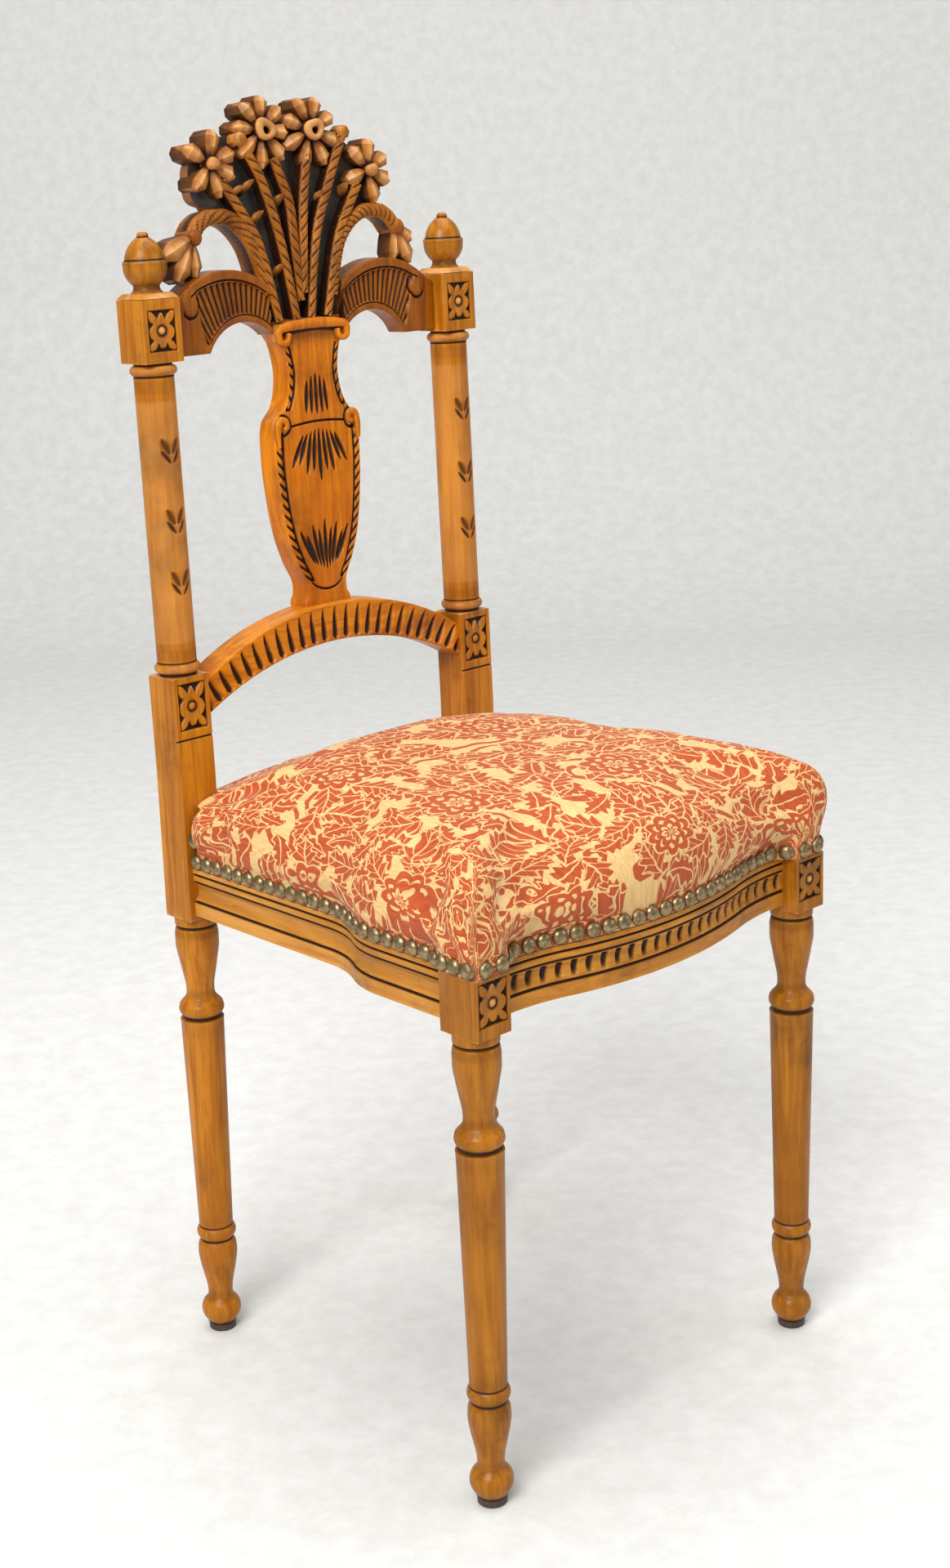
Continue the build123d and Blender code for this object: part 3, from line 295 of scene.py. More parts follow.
class Relief:
    """The carved face of a board: how far each point is lifted or cut, and how dark it is."""

    def __init__(self, x, y):
        self.x, self.y = x, y
        self.lift = np.zeros_like(x)
        self.stain_and_shading = np.zeros_like(x)

    def cut(self, share, depth, dark=1.0):
        self.lift = self.lift - depth * share
        self.stain_and_shading = np.maximum(self.stain_and_shading, dark * np.clip(1.5 * share, 0, 1))

    def line(self, distance, width, depth, where=True):
        """A V-shaped line along the places where the distance is nought."""
        self.cut(np.where(where, np.clip(1 - np.abs(distance) / (width / 2), 0, 1), 0), depth)

    def stroke(self, start, end, width, depth, dark=1.0):
        """A gouge with pointed ends."""
        run = np.subtract(end, start)
        length = np.hypot(*run)
        along = ((self.x - start[0]) * run[0] + (self.y - start[1]) * run[1]) / length**2
        across = np.abs((self.x - start[0]) * run[1] - (self.y - start[1]) * run[0]) / length
        reach = np.maximum(width / 2 * np.sin(np.pi * np.clip(along, 0, 1)) ** 0.6, 0.05)
        # Painted glint: a pale rim along the gouge's edges
        painted_glint = np.where(reach > 0.06, np.clip(1.2 - np.abs(across - reach - 0.5) / 0.6, 0, 0.8), 0)
        self.stain_and_shading = np.where((self.stain_and_shading <= 0.3) & (painted_glint > 0), -painted_glint, self.stain_and_shading)
        self.cut(np.where(reach > 0.06, np.clip(1 - across / reach, 0, 1), 0), depth, dark)

    def rosette(self, middle, wide, tall):
        """A sunk panel filled by a lobed leaf round a bead."""
        u, v = np.abs(self.x - middle[0]) * 2 / wide, (self.y - middle[1]) * 2 / tall
        sunk = np.clip((1 - np.maximum(u, np.abs(v))) * wide / 1.8, 0, 1)
        reach = np.clip(u, 0, 1)
        ends = np.minimum(flowing(*leaf_top)(reach) - v, v - flowing(*leaf_foot)(reach))
        inside = np.minimum(flowing(*leaf_sides)(np.clip(v, -1, 1)) - u, ends)
        leaf = np.clip(inside * wide / 2 / 1.1, 0, 1)
        gap = np.hypot(self.x - middle[0], self.y - middle[1])
        dish = np.clip(gap / (0.45 * wide), 0, 1)
        bead = np.sqrt(np.clip(1 - (gap / rosette_bead) ** 2, 0, 1))
        raised = np.maximum(leaf * (0.35 + 0.55 * dish), 1.15 * bead)
        self.lift = self.lift - rosette_depth * sunk * (1 - raised)
        # Painted shade on the sunk ground, in a ring round the bead and near the middle, and a painted
        # highlight on the bead
        ring = np.clip(2.1 - gap / rosette_bead, 0, 0.9)
        shade = np.maximum(np.maximum(1 - leaf, ring), 0.6 - 0.9 * dish)
        self.stain_and_shading = np.where(sunk > 0, sunk * np.where(bead > 0.25, -0.7 * bead, shade), self.stain_and_shading)


def turned(carving, outline, place, columns=48, carve=None, dark=(), pale=0.0):
    """Adds a turned form; its outline is pairs of a radius and a place along the axis.

    A band of painted shade, at a groove or beside a ring, has a place along the axis, half a width and,
    where it is faint, a strength.
    """
    radius, along = outline[:, :1], outline[:, 1:]
    stain_and_shading = np.full((len(outline), columns), -pale)
    for middle, half, *strength in dark:
        band = np.clip(1.5 - np.abs(along - middle) / half, 0, 1) * (strength or (1.0,))[0]
        stain_and_shading = np.maximum(np.maximum(stain_and_shading, 0), band) + np.minimum(stain_and_shading, 0) * (1 - np.clip(3 * band, 0, 1))
    angle = np.linspace(0, 2 * math.pi, columns, endpoint=False)[None, :]
    if carve:
        cut = carve(np.repeat(angle, len(outline), axis=0), np.repeat(along, columns, axis=1))
        normal = headings(outline)[:, ::-1] * (1, -1)
        radius = radius + cut.lift * normal[:, :1]
        along = along + cut.lift * normal[:, 1:]
        stain_and_shading = np.where(cut.stain_and_shading != 0, cut.stain_and_shading, stain_and_shading)
    carving.loft(place(radius * np.cos(angle), radius * np.sin(angle), along), stain_and_shading)


def panel(carving, place, rows, low, high, columns, front, rear, relief=None, tall=True, ease=1.0,
          flank=0.0):
    """Adds a board with a carved face: rows along it, and columns from its low to its high edge.

    The rows of a tall board are heights and its columns go across; otherwise it is the other way round.
    """
    share = np.linspace(0, 1, columns)
    share = 0.65 * share + 0.35 * (0.5 - 0.5 * np.cos(np.pi * share))
    low, high = np.broadcast_to(low, rows.shape)[:, None], np.broadcast_to(high, rows.shape)[:, None]
    across = low + (high - low) * share
    along = np.repeat(rows[:, None], columns, axis=1)
    face = Relief(across, along) if tall else Relief(along, across)
    if relief:
        relief(face)
    margin = np.minimum(np.minimum(across - low, high - across), ease)
    ahead = front + face.lift - ease + np.sqrt(ease**2 - (ease - margin) ** 2)
    rear = np.full(low.shape, rear)
    across = np.hstack([across, high, high, high - ease, low + ease, low, low])
    ahead = np.hstack([ahead, ahead[:, -1:] - 0.7, rear + ease, rear, rear, rear + ease, ahead[:, :1] - 0.7])
    stain_and_shading = np.hstack([face.stain_and_shading, np.full((len(rows), 6), flank)])
    carving.loft(place(across, rows[:, None], ahead) if tall else place(rows[:, None], across, ahead), stain_and_shading)


# Materials


class Paint:
    """Builds one material's nodes."""

    def __init__(self, name):
        self.material = bpy.data.materials.new(name)
        self.material.use_nodes = True
        self.tree = self.material.node_tree
        self.shader = next(node for node in self.tree.nodes if node.type == "BSDF_PRINCIPLED")
        self.place = self.node("ShaderNodeTexCoord").outputs["Object"]

    def node(self, kind, links=None, **settings):
        """A node with its settings, and values or other nodes' sockets on its inputs."""
        made = self.tree.nodes.new(kind)
        for name, value in settings.items():
            setattr(made, name, value)
        for socket, value in (links or {}).items():
            self.plug(made.inputs[socket], value)
        return made

    def plug(self, socket, value):
        if isinstance(value, bpy.types.NodeSocket):
            self.tree.links.new(value, socket)
        else:
            socket.default_value = value

    def finish(self, **values):
        """Sets the shader's sockets, with spaces for underscores, and gives back the material."""
        for name, value in values.items():
            self.plug(self.shader.inputs[name.replace("_", " ")], value)
        return self.material

    def math(self, operation, *values):
        return self.node("ShaderNodeMath", dict(enumerate(values)), operation=operation).outputs[0]

    def range(self, value, low, high, to_low=0.0, to_high=1.0, smooth=True):
        kind = "SMOOTHSTEP" if smooth else "LINEAR"
        links = dict(enumerate((value, low, high, to_low, to_high)))
        return self.node("ShaderNodeMapRange", links, interpolation_type=kind).outputs[0]

    def mix(self, share, first, second):
        first, second = ((*value, 1.0) if isinstance(value, tuple) else value for value in (first, second))
        links = {"Factor": share, 6: first, 7: second}
        return self.node("ShaderNodeMix", links, data_type="RGBA").outputs[2]

    def vector(self, operation, *values):
        return self.node("ShaderNodeVectorMath", dict(enumerate(values)), operation=operation).outputs[0]

    def parts(self, value):
        """The first two parts of a vector."""
        return tuple(self.node("ShaderNodeSeparateXYZ", {0: value}).outputs)[:2]

    def stretched(self, scale, turn=(0, 0, 0), place=None):
        links = {"Vector": place or self.place, "Scale": scale, "Rotation": turn}
        return self.node("ShaderNodeMapping", links).outputs[0]

    def noise(self, place, scale, detail=3.0, roughness=0.55, distortion=0.0, colour=False):
        node = self.node("ShaderNodeTexNoise", {"Vector": place, "Scale": scale, "Detail": detail,
                                                "Roughness": roughness, "Distortion": distortion})
        return node.outputs["Color" if colour else "Fac"]

    def cells(self, place, size, randomness, feature="F1"):
        """Cells of a size scattered over a plane."""
        links = {"Vector": place, "Scale": 1 / size, "Randomness": randomness}
        return self.node("ShaderNodeTexVoronoi", links, voronoi_dimensions="2D", feature=feature).outputs

    def attribute(self, name, output="Fac"):
        return self.node("ShaderNodeAttribute", attribute_name=name).outputs[output]

    def pointiness(self):
        """How far the surface bulges: over a half at edges, and under it in cuts."""
        return self.node("ShaderNodeNewGeometry").outputs["Pointiness"]

    def bump(self, height, strength, distance, normal=None):
        links = {"Height": height, "Strength": strength, "Distance": distance}
        if normal:
            links["Normal"] = normal
        return self.node("ShaderNodeBump", links).outputs[0]


straw = (0.72, 0.37, 0.125)
umber = (0.024, 0.008, 0.003)


# The worn colour paints both worn wood and painted highlights on edges and crests
def wood(name, light, deep, grain, worn=straw, edge_wear_and_highlight=1.0, roughness=0.36):
    """Lacquered fruitwood with grain along an axis, old stain and painted shade in the cuts, and edges and
    crests pale with wear and painted highlights.
    """
    paint = Paint(name)

    def along_grain(along, across):
        return paint.stretched(tuple(along if axis == grain else across for axis in "xyz"))

    fibre = paint.noise(along_grain(9.0, 150.0), 1.0, 5.0, 0.62, 0.6)
    streak = paint.noise(along_grain(27.0, 450.0), 1.0, 3.0, 0.6)
    patch = paint.noise(along_grain(7.0, 26.0), 1.0, 4.0, 0.6)
    glaze = paint.noise(paint.place, 17.0, 5.0, 0.68)
    patchiness = paint.noise(paint.place, 60.0, 3.0)
    convexity = paint.pointiness()
    stain_and_shading = paint.attribute("stain_and_shading")
    colour = paint.mix(paint.range(fibre, 0.3, 0.75), light, deep)
    colour = paint.mix(paint.range(patch, 0.42, 0.7, 0.0, 0.75), colour, deep)
    colour = paint.mix(paint.range(glaze, 0.48, 0.75, 0.0, 0.5), colour, umber)
    colour = paint.mix(paint.range(streak, 0.58, 0.8, 0.0, 0.4), colour, umber)
    # Pale edges: worn, and painted highlights along the arrises
    edges = paint.math("MULTIPLY", paint.range(convexity, 0.53, 0.605),
                       paint.range(patchiness, 0.35, 0.65, 0.1 * edge_wear_and_highlight, 0.8 * edge_wear_and_highlight))
    colour = paint.mix(edges, colour, worn)
    # Pale crests where the stain attribute is below nought: wear, and painted highlights on gouge rims,
    # beads, petal ridges and reeds
    worn_and_highlit_crests = paint.math("MULTIPLY", paint.range(stain_and_shading, -0.1, -0.9), paint.range(patchiness, 0.3, 0.7, 0.6, 1.0))
    colour = paint.mix(worn_and_highlit_crests, colour, worn)
    # Dark in cuts and hollows: old stain, and the painted shade that the stain attribute carries
    cut = paint.math("MAXIMUM", paint.range(stain_and_shading, 0.05, 0.85), paint.range(convexity, 0.488, 0.42, 0.0, 0.7))
    cut = paint.math("MULTIPLY", cut, paint.range(patchiness, 0.1, 0.45, 0.75, 1.0))
    colour = paint.mix(cut, colour, umber)
    rough = paint.math("MULTIPLY_ADD", cut, 0.22,
                       paint.range(patch, 0.3, 0.75, roughness - 0.06, roughness + 0.1))
    tool = paint.bump(paint.noise(paint.place, 130.0, 2.0), 0.16, 0.0006)
    normal = paint.bump(fibre, 0.12, 0.0004, tool)
    return paint.finish(Base_Color=colour, Roughness=rough, Normal=normal, Coat_Weight=0.1,
                        Coat_Roughness=0.18, Specular_IOR_Level=0.15)


back_wood = wood("back_wood", (0.74, 0.230, 0.001), (0.40, 0.092, 0.001), "z")
# Darker than the back's wood, partly as painted shade on the crest wings
shaded_crest_wood = wood("shaded_crest_wood", (0.35, 0.100, 0.002), (0.18, 0.043, 0.001), "z")
arch_wood = wood("arch_wood", (0.71, 0.242, 0.008), (0.40, 0.100, 0.002), "x")
column_wood = wood("column_wood", (0.56, 0.206, 0.011), (0.31, 0.087, 0.003), "z")
leg_wood = wood("leg_wood", (0.44, 0.160, 0.009), (0.235, 0.072, 0.003), "z")
rail_wood = wood("rail_wood", (0.60, 0.245, 0.030), (0.38, 0.135, 0.012), "x")
# Paler and greyer than the front rail's wood, partly as painted sky reflection on the side rails
sky_lit_side_rail_wood = wood("sky_lit_side_rail_wood", (0.64, 0.28, 0.045), (0.42, 0.16, 0.018), "y")
flower_wood = wood("flower_wood", (0.36, 0.105, 0.008), (0.17, 0.042, 0.003), "z", edge_wear_and_highlight=0.35)
stem_wood = wood("stem_wood", (0.44, 0.145, 0.009), (0.22, 0.060, 0.004), "z", edge_wear_and_highlight=0.5)
inner_wood = wood("inner_wood", (0.60, 0.43, 0.25), (0.48, 0.32, 0.17), "x", (0.66, 0.5, 0.32),
                  roughness=0.7)


def dusty_ground():
    """The sunk ground between the stems: chiselled, stained dark, dusty, and brown at its edges."""
    paint = Paint("dusty_ground")
    chisel = paint.noise(paint.stretched((60, 60, 25)), 1.0, 4.0, 0.65)
    dust = paint.noise(paint.place, 45.0, 4.0)
    floor = paint.mix(paint.range(chisel, 0.35, 0.7), (0.016, 0.012, 0.009), (0.060, 0.046, 0.032))
    floor = paint.mix(paint.range(dust, 0.5, 0.8, 0.0, 0.5), floor, (0.16, 0.15, 0.125))
    edge = paint.mix(paint.range(chisel, 0.3, 0.7), (0.30, 0.115, 0.030), (0.17, 0.060, 0.016))
    colour = paint.mix(paint.range(paint.attribute("stain_and_shading"), 0.2, 0.8), edge, floor)
    return paint.finish(Base_Color=colour, Roughness=paint.range(dust, 0.3, 0.7, 0.5, 0.8),
                        Normal=paint.bump(chisel, 0.5, 0.0015))


def antique_brass():
    """Domed nails: brass gone brown, brighter where it is rubbed."""
    paint = Paint("antique_brass")
    tarnish = paint.noise(paint.place, 260.0, 3.0, 0.6)
    brown = paint.range(tarnish, 0.35, 0.68, 0.0, 0.8)
    colour = paint.mix(brown, (0.36, 0.265, 0.135), (0.12, 0.082, 0.040))
    colour = paint.mix(paint.range(paint.pointiness(), 0.49, 0.44), colour, (0.06, 0.04, 0.02))
    return paint.finish(Base_Color=colour, Metallic=0.9, Roughness=paint.range(tarnish, 0.3, 0.7, 0.28, 0.5),
                        Normal=paint.bump(tarnish, 0.2, 0.0004))


def from_centre(paint, place, cells, size):
    """A place as seen from the centre of its cell, in shares of a cell."""
    offset = paint.vector("SUBTRACT", place, cells["Position"])
    return paint.vector("MULTIPLY", offset, (1 / size, 1 / size, 0.0))


def leaf_figure(paint, cloth, size, shift, veins):
    """Leaves scattered over cloth: how far inside a leaf a place is, in shares of a cell, and its veins."""
    place = paint.vector("ADD", cloth, (*shift, 0.0))
    cells = paint.cells(place, size, 0.8)
    border = paint.cells(place, size, 0.8, "DISTANCE_TO_EDGE")["Distance"]
    flow = paint.range(paint.noise(cells["Position"], 9.0, 1.0), 0.25, 0.75, 0.0, 9.0, smooth=False)
    turn = paint.math("ADD", flow, paint.range(cells["Color"], 0.0, 1.0, -0.7, 0.7, smooth=False))
    links = {"Vector": from_centre(paint, place, cells, size), "Angle": turn}
    local = paint.node("ShaderNodeVectorRotate", links, rotation_type="Z_AXIS").outputs[0]
    along, across = paint.parts(local)
    bent = paint.math("MULTIPLY_ADD", paint.math("MULTIPLY", along, along), 0.5, -0.06)
    across = paint.math("ABSOLUTE", paint.math("ADD", across, bent))

    def waves(slant, pace):
        phase = paint.math("MULTIPLY_ADD", across, slant, paint.math("MULTIPLY", along, pace))
        return paint.math("SINE", phase)

    lobes = paint.math("MULTIPLY_ADD", waves(-11.0, 27.0), 0.24, 0.94)
    taper = paint.math("MULTIPLY_ADD", paint.math("POWER", paint.math("ABSOLUTE", along), 2.2), -4.2, 1.0)
    half = paint.math("MULTIPLY", paint.math("MULTIPLY", taper, lobes), 0.27)
    inside = paint.math("MINIMUM", paint.math("SUBTRACT", half, across),
                        paint.math("SUBTRACT", border, 0.03))
    rib = paint.range(waves(-30.0, 34.0), 0.86, 0.95, 0.0, veins)
    return inside, paint.math("MAXIMUM", paint.range(across, 0.012, 0.024, 1.0, 0.0), rib)


def rosette_figure(paint, cloth, size):
    """Round flower heads far apart: how far out a place is, in petals of two rows."""
    local = from_centre(paint, cloth, paint.cells(cloth, size, 0.45), size)
    x, y = paint.parts(local)
    turn = paint.math("ARCTAN2", y, x)
    far = paint.node("ShaderNodeVectorMath", {0: local}, operation="LENGTH").outputs["Value"]
    rows = []
    for lobes, depth in ((4.5, 0.045), (3.5, 0.03)):
        wave = paint.math("ABSOLUTE", paint.math("SINE", paint.math("MULTIPLY", turn, lobes)))
        rows.append(paint.math("ADD", far, paint.math("MULTIPLY_ADD", wave, -depth, depth)))
    return rows


# The brocade's leaves, by size, shift and veins, and its flower heads' edges, by row, reach and colour
leaf_layers = ((0.050, (0.0, 0.0), 0.8), (0.034, (0.31, 0.17), 0.0), (0.046, (0.73, 0.41), 0.8))
flower_spacing = 0.135
flower_edges = ((0, 0.215, 0.0), (0, 0.2, 1.0), (0, 0.145, 0.0), (1, 0.128, 1.0), (1, 0.085, 0.0),
                (0, 0.062, 1.0), (0, 0.03, 0.0))
weave_turn = (0, 0, 0.8)


def brocade():
    """Woven brocade: lobed leaves and scrolling lines in terracotta on cream, with round flower heads."""
    paint = Paint("brocade")
    cream, gold = (0.84, 0.57, 0.25), (0.70, 0.42, 0.15)
    terracotta, brick = (0.52, 0.088, 0.020), (0.40, 0.058, 0.014)
    flat = paint.attribute("cloth", "Vector")
    waver = paint.vector("MULTIPLY", paint.noise(flat, 55.0, 2.0, colour=True), (0.007, 0.007, 0.0))
    flat = paint.vector("ADD", flat, waver)
    scroll = paint.math("SINE", paint.math("MULTIPLY", paint.noise(flat, 15.0, 1.0), 44.0))
    figure = paint.range(scroll, 0.35, 0.5)
    for size, shift, veins in leaf_layers:
        inside, vein = leaf_figure(paint, flat, size, shift, veins)
        leaf = paint.math("MULTIPLY", paint.range(inside, 0.0, 0.02), paint.math("SUBTRACT", 1.0, vein))
        figure = paint.mix(paint.range(inside, -0.042, -0.028), figure, leaf)
    rows = rosette_figure(paint, flat, flower_spacing)
    for row, edge, value in flower_edges:
        within = paint.range(rows[row], edge - 0.008, edge, 1.0, 0.0)
        figure = paint.mix(within, figure, (value, value, value))
    links = {"Vector": paint.stretched((1, 1, 1), weave_turn, flat), "Scale": 420.0, "Distortion": 0.6,
             "Detail": 1.0}
    thread = paint.node("ShaderNodeTexWave", links, wave_type="BANDS").outputs["Fac"]
    slub = paint.noise(paint.stretched((500, 90, 300), weave_turn, flat), 1.0, 2.0)
    uneven = paint.range(slub, 0.3, 0.7)
    colour = paint.mix(figure, paint.mix(uneven, cream, gold), paint.mix(uneven, terracotta, brick))
    colour = paint.mix(paint.math("MULTIPLY", thread, 0.12), colour, (0.30, 0.12, 0.05))
    raised = paint.math("ADD", paint.math("MULTIPLY", figure, 0.8), paint.math("MULTIPLY", thread, 0.5))
    return paint.finish(Base_Color=colour, Roughness=paint.range(slub, 0.3, 0.7, 0.55, 0.72),
                        Sheen_Weight=0.08, Sheen_Roughness=0.4, Specular_IOR_Level=0.25,
                        Normal=paint.bump(raised, 0.35, 0.0005))


def cloth(name, light, dark, scale):
    """A plain open weave."""
    paint = Paint(name)
    links = {"Vector": paint.place, "Scale": scale, "Distortion": 0.4}
    warp, weft = (paint.node("ShaderNodeTexWave", links, bands_direction=way).outputs["Fac"] for way in "XY")
    weave = paint.math("MULTIPLY", warp, weft)
    slub = paint.noise(paint.place, 120.0, 3.0)
    colour = paint.mix(paint.math("MULTIPLY", weave, paint.range(slub, 0.3, 0.7, 0.5, 1.0)), dark, light)
    return paint.finish(Base_Color=colour, Roughness=0.9, Normal=paint.bump(weave, 0.5, 0.0006))


def plain_steel():
    """Bright steel of the hidden screws, lightly brushed."""
    paint = Paint("plain_steel")
    brushed = paint.noise(paint.stretched((400, 400, 30)), 1.0, 2.0)
    return paint.finish(Base_Color=paint.mix(brushed, (0.42, 0.42, 0.43), (0.6, 0.6, 0.61)), Metallic=1.0,
                        Roughness=paint.range(brushed, 0.3, 0.7, 0.25, 0.45))


def dark_plastic():
    """Matte brown glides, scuffed."""
    paint = Paint("dark_plastic")
    scuff = paint.noise(paint.place, 300.0, 4.0)
    colour = paint.mix(paint.range(scuff, 0.5, 0.8), (0.05, 0.03, 0.018), (0.12, 0.085, 0.06))
    return paint.finish(Base_Color=colour, Roughness=0.6, Normal=paint.bump(scuff, 0.2, 0.0003))


# Pieces


def mesh_of(name, carving, merge=0.0):
    """The mesh of a finished carving, with its points merged where they are nearer than a distance."""
    mesh = bpy.data.meshes.new(name)
    mesh.from_pydata((np.vstack(carving.points) * metre).tolist(), [], carving.faces)
    shape = bmesh.new()
    shape.from_mesh(mesh)
    if merge:
        bmesh.ops.remove_doubles(shape, verts=shape.verts, dist=merge * metre)
    bmesh.ops.recalc_face_normals(shape, faces=shape.faces)
    shape.to_mesh(mesh)
    shape.free()
    return mesh


def smooth_faces(mesh):
    mesh.polygons.foreach_set("use_smooth", np.ones(len(mesh.polygons), bool))


def placed(name, data):
    """A new object, linked to the scene."""
    made = bpy.data.objects.new(name, data)
    bpy.context.scene.collection.objects.link(made)
    return made


def piece(name, carving, material, slot, *nodes, crease=40.0):
    """Makes the object of a finished carving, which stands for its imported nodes."""
    mesh = mesh_of(name, carving)
    # The stain attribute holds old stain and painted shade above nought, and wear and painted highlights
    # below it
    mesh.attributes.new("stain_and_shading", "FLOAT", "POINT").data.foreach_set("value", np.concatenate(carving.stain_and_shading))
    smooth_faces(mesh)
    mesh.set_sharp_from_angle(angle=math.radians(crease))
    mesh.materials.append(material)
    made = placed(name, mesh)
    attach(made, "root")
    if nodes:
        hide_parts(*nodes)


def pair(name, right, material, slot, node):
    """A right-hand piece and its mirror image."""
    piece(f"{name}_right", right, material, slot, f"{node}_right")
    piece(f"{name}_left", right.mirrored(), material, slot, f"{node}_left")


def profile(*knots):
    """A flowing outline through pairs of a radius and a place along the axis, given from the bottom up."""
    radii, places = np.array(knots, float).T
    along = np.linspace(places[0], places[-1], 40)
    return np.stack([flowing(places, radii)(along), along], axis=1)


axis_gap = 0.5
leg_columns = 40
# Painted shade at the leg's grooves and rings: a place, half a width and, where faint, a strength
leg_shade_bands = ((glide_height, 2.5), (32, 5, 0.3), (83.0, 0.9), (95.2, 0.6), (101, 7, 0.22), (271, 7, 0.22),
             (280.9, 1.5), (300, 5, 0.3), (353, 4, 0.3), (358.7, 1.3))


def leg_outline():
    """Half the outline of a turned leg, from the glide up to its block."""
    foot = trace((axis_gap, glide_height), (11.5, glide_height), (12.4, 9.5), ((16.3, 19.5), (12.9, 27.4)))
    calf = profile((12.9, 27.4), (10.9, 29.6), (10.1, 33), (10.6, 39.5), (12.3, 48.5), (14.7, 60),
                   (16.1, 71), (15.6, 78), (13.6, 82.2))
    ankle = trace((13.4, 83.8), ((16.1, 89), (13.9, 94.6)), (17.4, 276.5), (17.7, 278.6), (15.2, 279.6),
                  (15.2, 282.2), ((17.4, 284.2), (18.25, 288.2)))
    knee = profile((18.25, 288.2), (17.4, 291.6), (14.6, 294.8), (12.3, 297.6), (11.3, 301.5), (11.5, 307.5),
                   (13.0, 316), (15.5, 329.5), (17.5, 343), (17.5, 351), (16.6, 357))
    collar = np.array([(15, 357.5), (15, 359.8), (17, 360.2), (17, block_bottom), (axis_gap, block_bottom)])
    return paced(np.vstack([foot, calf, ankle, knee, collar]), 0.9)


# The rosettes of the blocks: their height, how wide they are and how tall
leg_rosette = (392, 28, 33)
middle_rosette = (541, 27, 38)
upper_rosette = (831, 26, 32)
middle_groove = 515
middle_face_foot = 505
block_columns = 56
block_pace = 0.7


def block(carving, place, heights, wide, deep, rosette, groove=None):
    """Adds a square block with a rosette on its face, and a groove below it where one is given."""

    def face(relief):
        relief.rosette((0, rosette[0]), *rosette[1:])
        if groove:
            relief.line(relief.y - groove, 2.0, 1.5)

    panel(carving, place, heights, -wide / 2, wide / 2, block_columns, deep / 2, -deep / 2, face)


def front_leg():
    leg = Carving()
    axis = upright(leg_x, front_leg_y)
    turned(leg, leg_outline(), axis, leg_columns, dark=leg_shade_bands)
    heights = np.arange(block_bottom, fabric_line + 0.1, block_pace)
    block(leg, lambda across, height, ahead: axis(across, ahead, height), heights, leg_block_width,
          leg_block_depth, leg_rosette)
    return leg


column_radius = 15.5
column_neck = 14.8
column_foot, column_top = 567.2, 805.0
column_columns = 110
# Painted shade where the column meets its rings and blocks
column_shade_bands = ((566.2, 1.0), (575.4, 0.7), (582, 7, 0.3), (789, 8, 0.3), (796.8, 0.8), (806.1, 1.0))
sprig_heights = (640, 688, 742)


def sprigs(angle, along):
    """The sprigs carved up the front of a column, each of four gouges."""
    marks = Relief((angle - math.pi / 2) * column_radius, along)
    for height in sprig_heights:
        for side in (-1, 1):
            marks.stroke((1.0 * side, height - 4.5), (8.0 * side, height + 8), 8.6, 1.5, 0.62)
            marks.stroke((1.2 * side, height - 11), (8.8 * side, height - 0.5), 4.6, 1.1, 0.75)
    return marks


def rear_post():
    made = Carving()
    turned(made, leg_outline(), upright(post_x, rear_y), leg_columns, dark=leg_shade_bands)
    heights = np.concatenate([np.linspace(block_bottom, middle_face_foot, 40),
                              np.arange(middle_face_foot + 1, mid_block_top, block_pace)])
    block(made, post, heights, post_width, post_depth, middle_rosette, middle_groove)
    heights = np.arange(upper_block_bottom, upper_block_top + 0.1, block_pace)
    block(made, post, heights, upper_block_width, post_depth, upper_rosette)
    cap = []
    for height, inset in ((upper_block_top, 0.6), (upper_block_top + block_cap_height, 4.0)):
        wide, deep = upper_block_width / 2 - inset, post_depth / 2 - inset
        corners = np.array([(-wide, -deep), (wide, -deep), (wide, deep), (-wide, deep)])
        cap.append(post(corners[:, 0], np.full(4, height), corners[:, 1]))
    made.loft(np.array(cap))
    outline = trace((axis_gap, mid_block_top), (column_neck, mid_block_top), (column_neck, column_foot),
                    ((18.0, 570.8), (column_radius, 574.6)), (column_radius, 797.6),
                    ((18.2, 801.4), (column_neck, column_top)), (column_neck, upper_block_bottom),
                    (axis_gap, upper_block_bottom))
    turned(made, paced(outline, 0.9), lambda across, ahead, along: post(across, along, ahead),
           column_columns, sprigs, column_shade_bands, 0.35)
    return made


def finial():
    made = Carving()
    foot = upper_block_top + block_cap_height
    cup = trace((0.5, -1), (12.3, -1), (12.3, 0.5), ((10.25, 3), (10.25, 6)), ((14.8, 11.5), (16.6, 20.4)),
                ((16.95, 22.3), (16.4, 24)), (15.2, 24.3))
    dome = trace((15.2, 24.3), ((12.6, 33), (5.2, 41)), (4.4, 41.4), (4.4, 43.6), ((3.2, 44.8), (0.4, 45)))
    outline = paced(np.vstack([cup, dome[1:]]), 0.6)
    # Bands of painted shade at the cup's waist, where the cup meets the dome, and at the dome's neck
    turned(made, outline, lambda across, ahead, along: back(post_x + across, foot + along, ahead), 48,
           dark=((4.0, 3.0, 0.5), (24.6, 0.7), (41.6, 0.6)))
    return made


# The moulded face of the rails: how far it is cut back at a height above the rail's bottom
moulding_heights = (0, 10.6, 11.2, 12.2, 12.9, 14, 16, 19.8, 23.6, 25.6, 26.7, 27.6, 28.4, 29, 31.1, 33.2,
                    33.8, 34.7, 35.6, 39, 39.2, 52)
moulding_cuts = (0, 0, 1.7, 1.7, 0.9, 2.4, 3.8, 4.4, 3.8, 2.4, 0.9, 1.9, 1.9, 0.6, 0, 0.6, 1.9, 1.9, 0, 0,
                 land_depth, land_depth)
groove_heights = (11.7, 28.0, 34.3)
cove_foot, cove_top = 13.0, 26.6
groove_half = 1.1
flute_count = 25
flute_depth, flute_proud = 3.6, 1.9


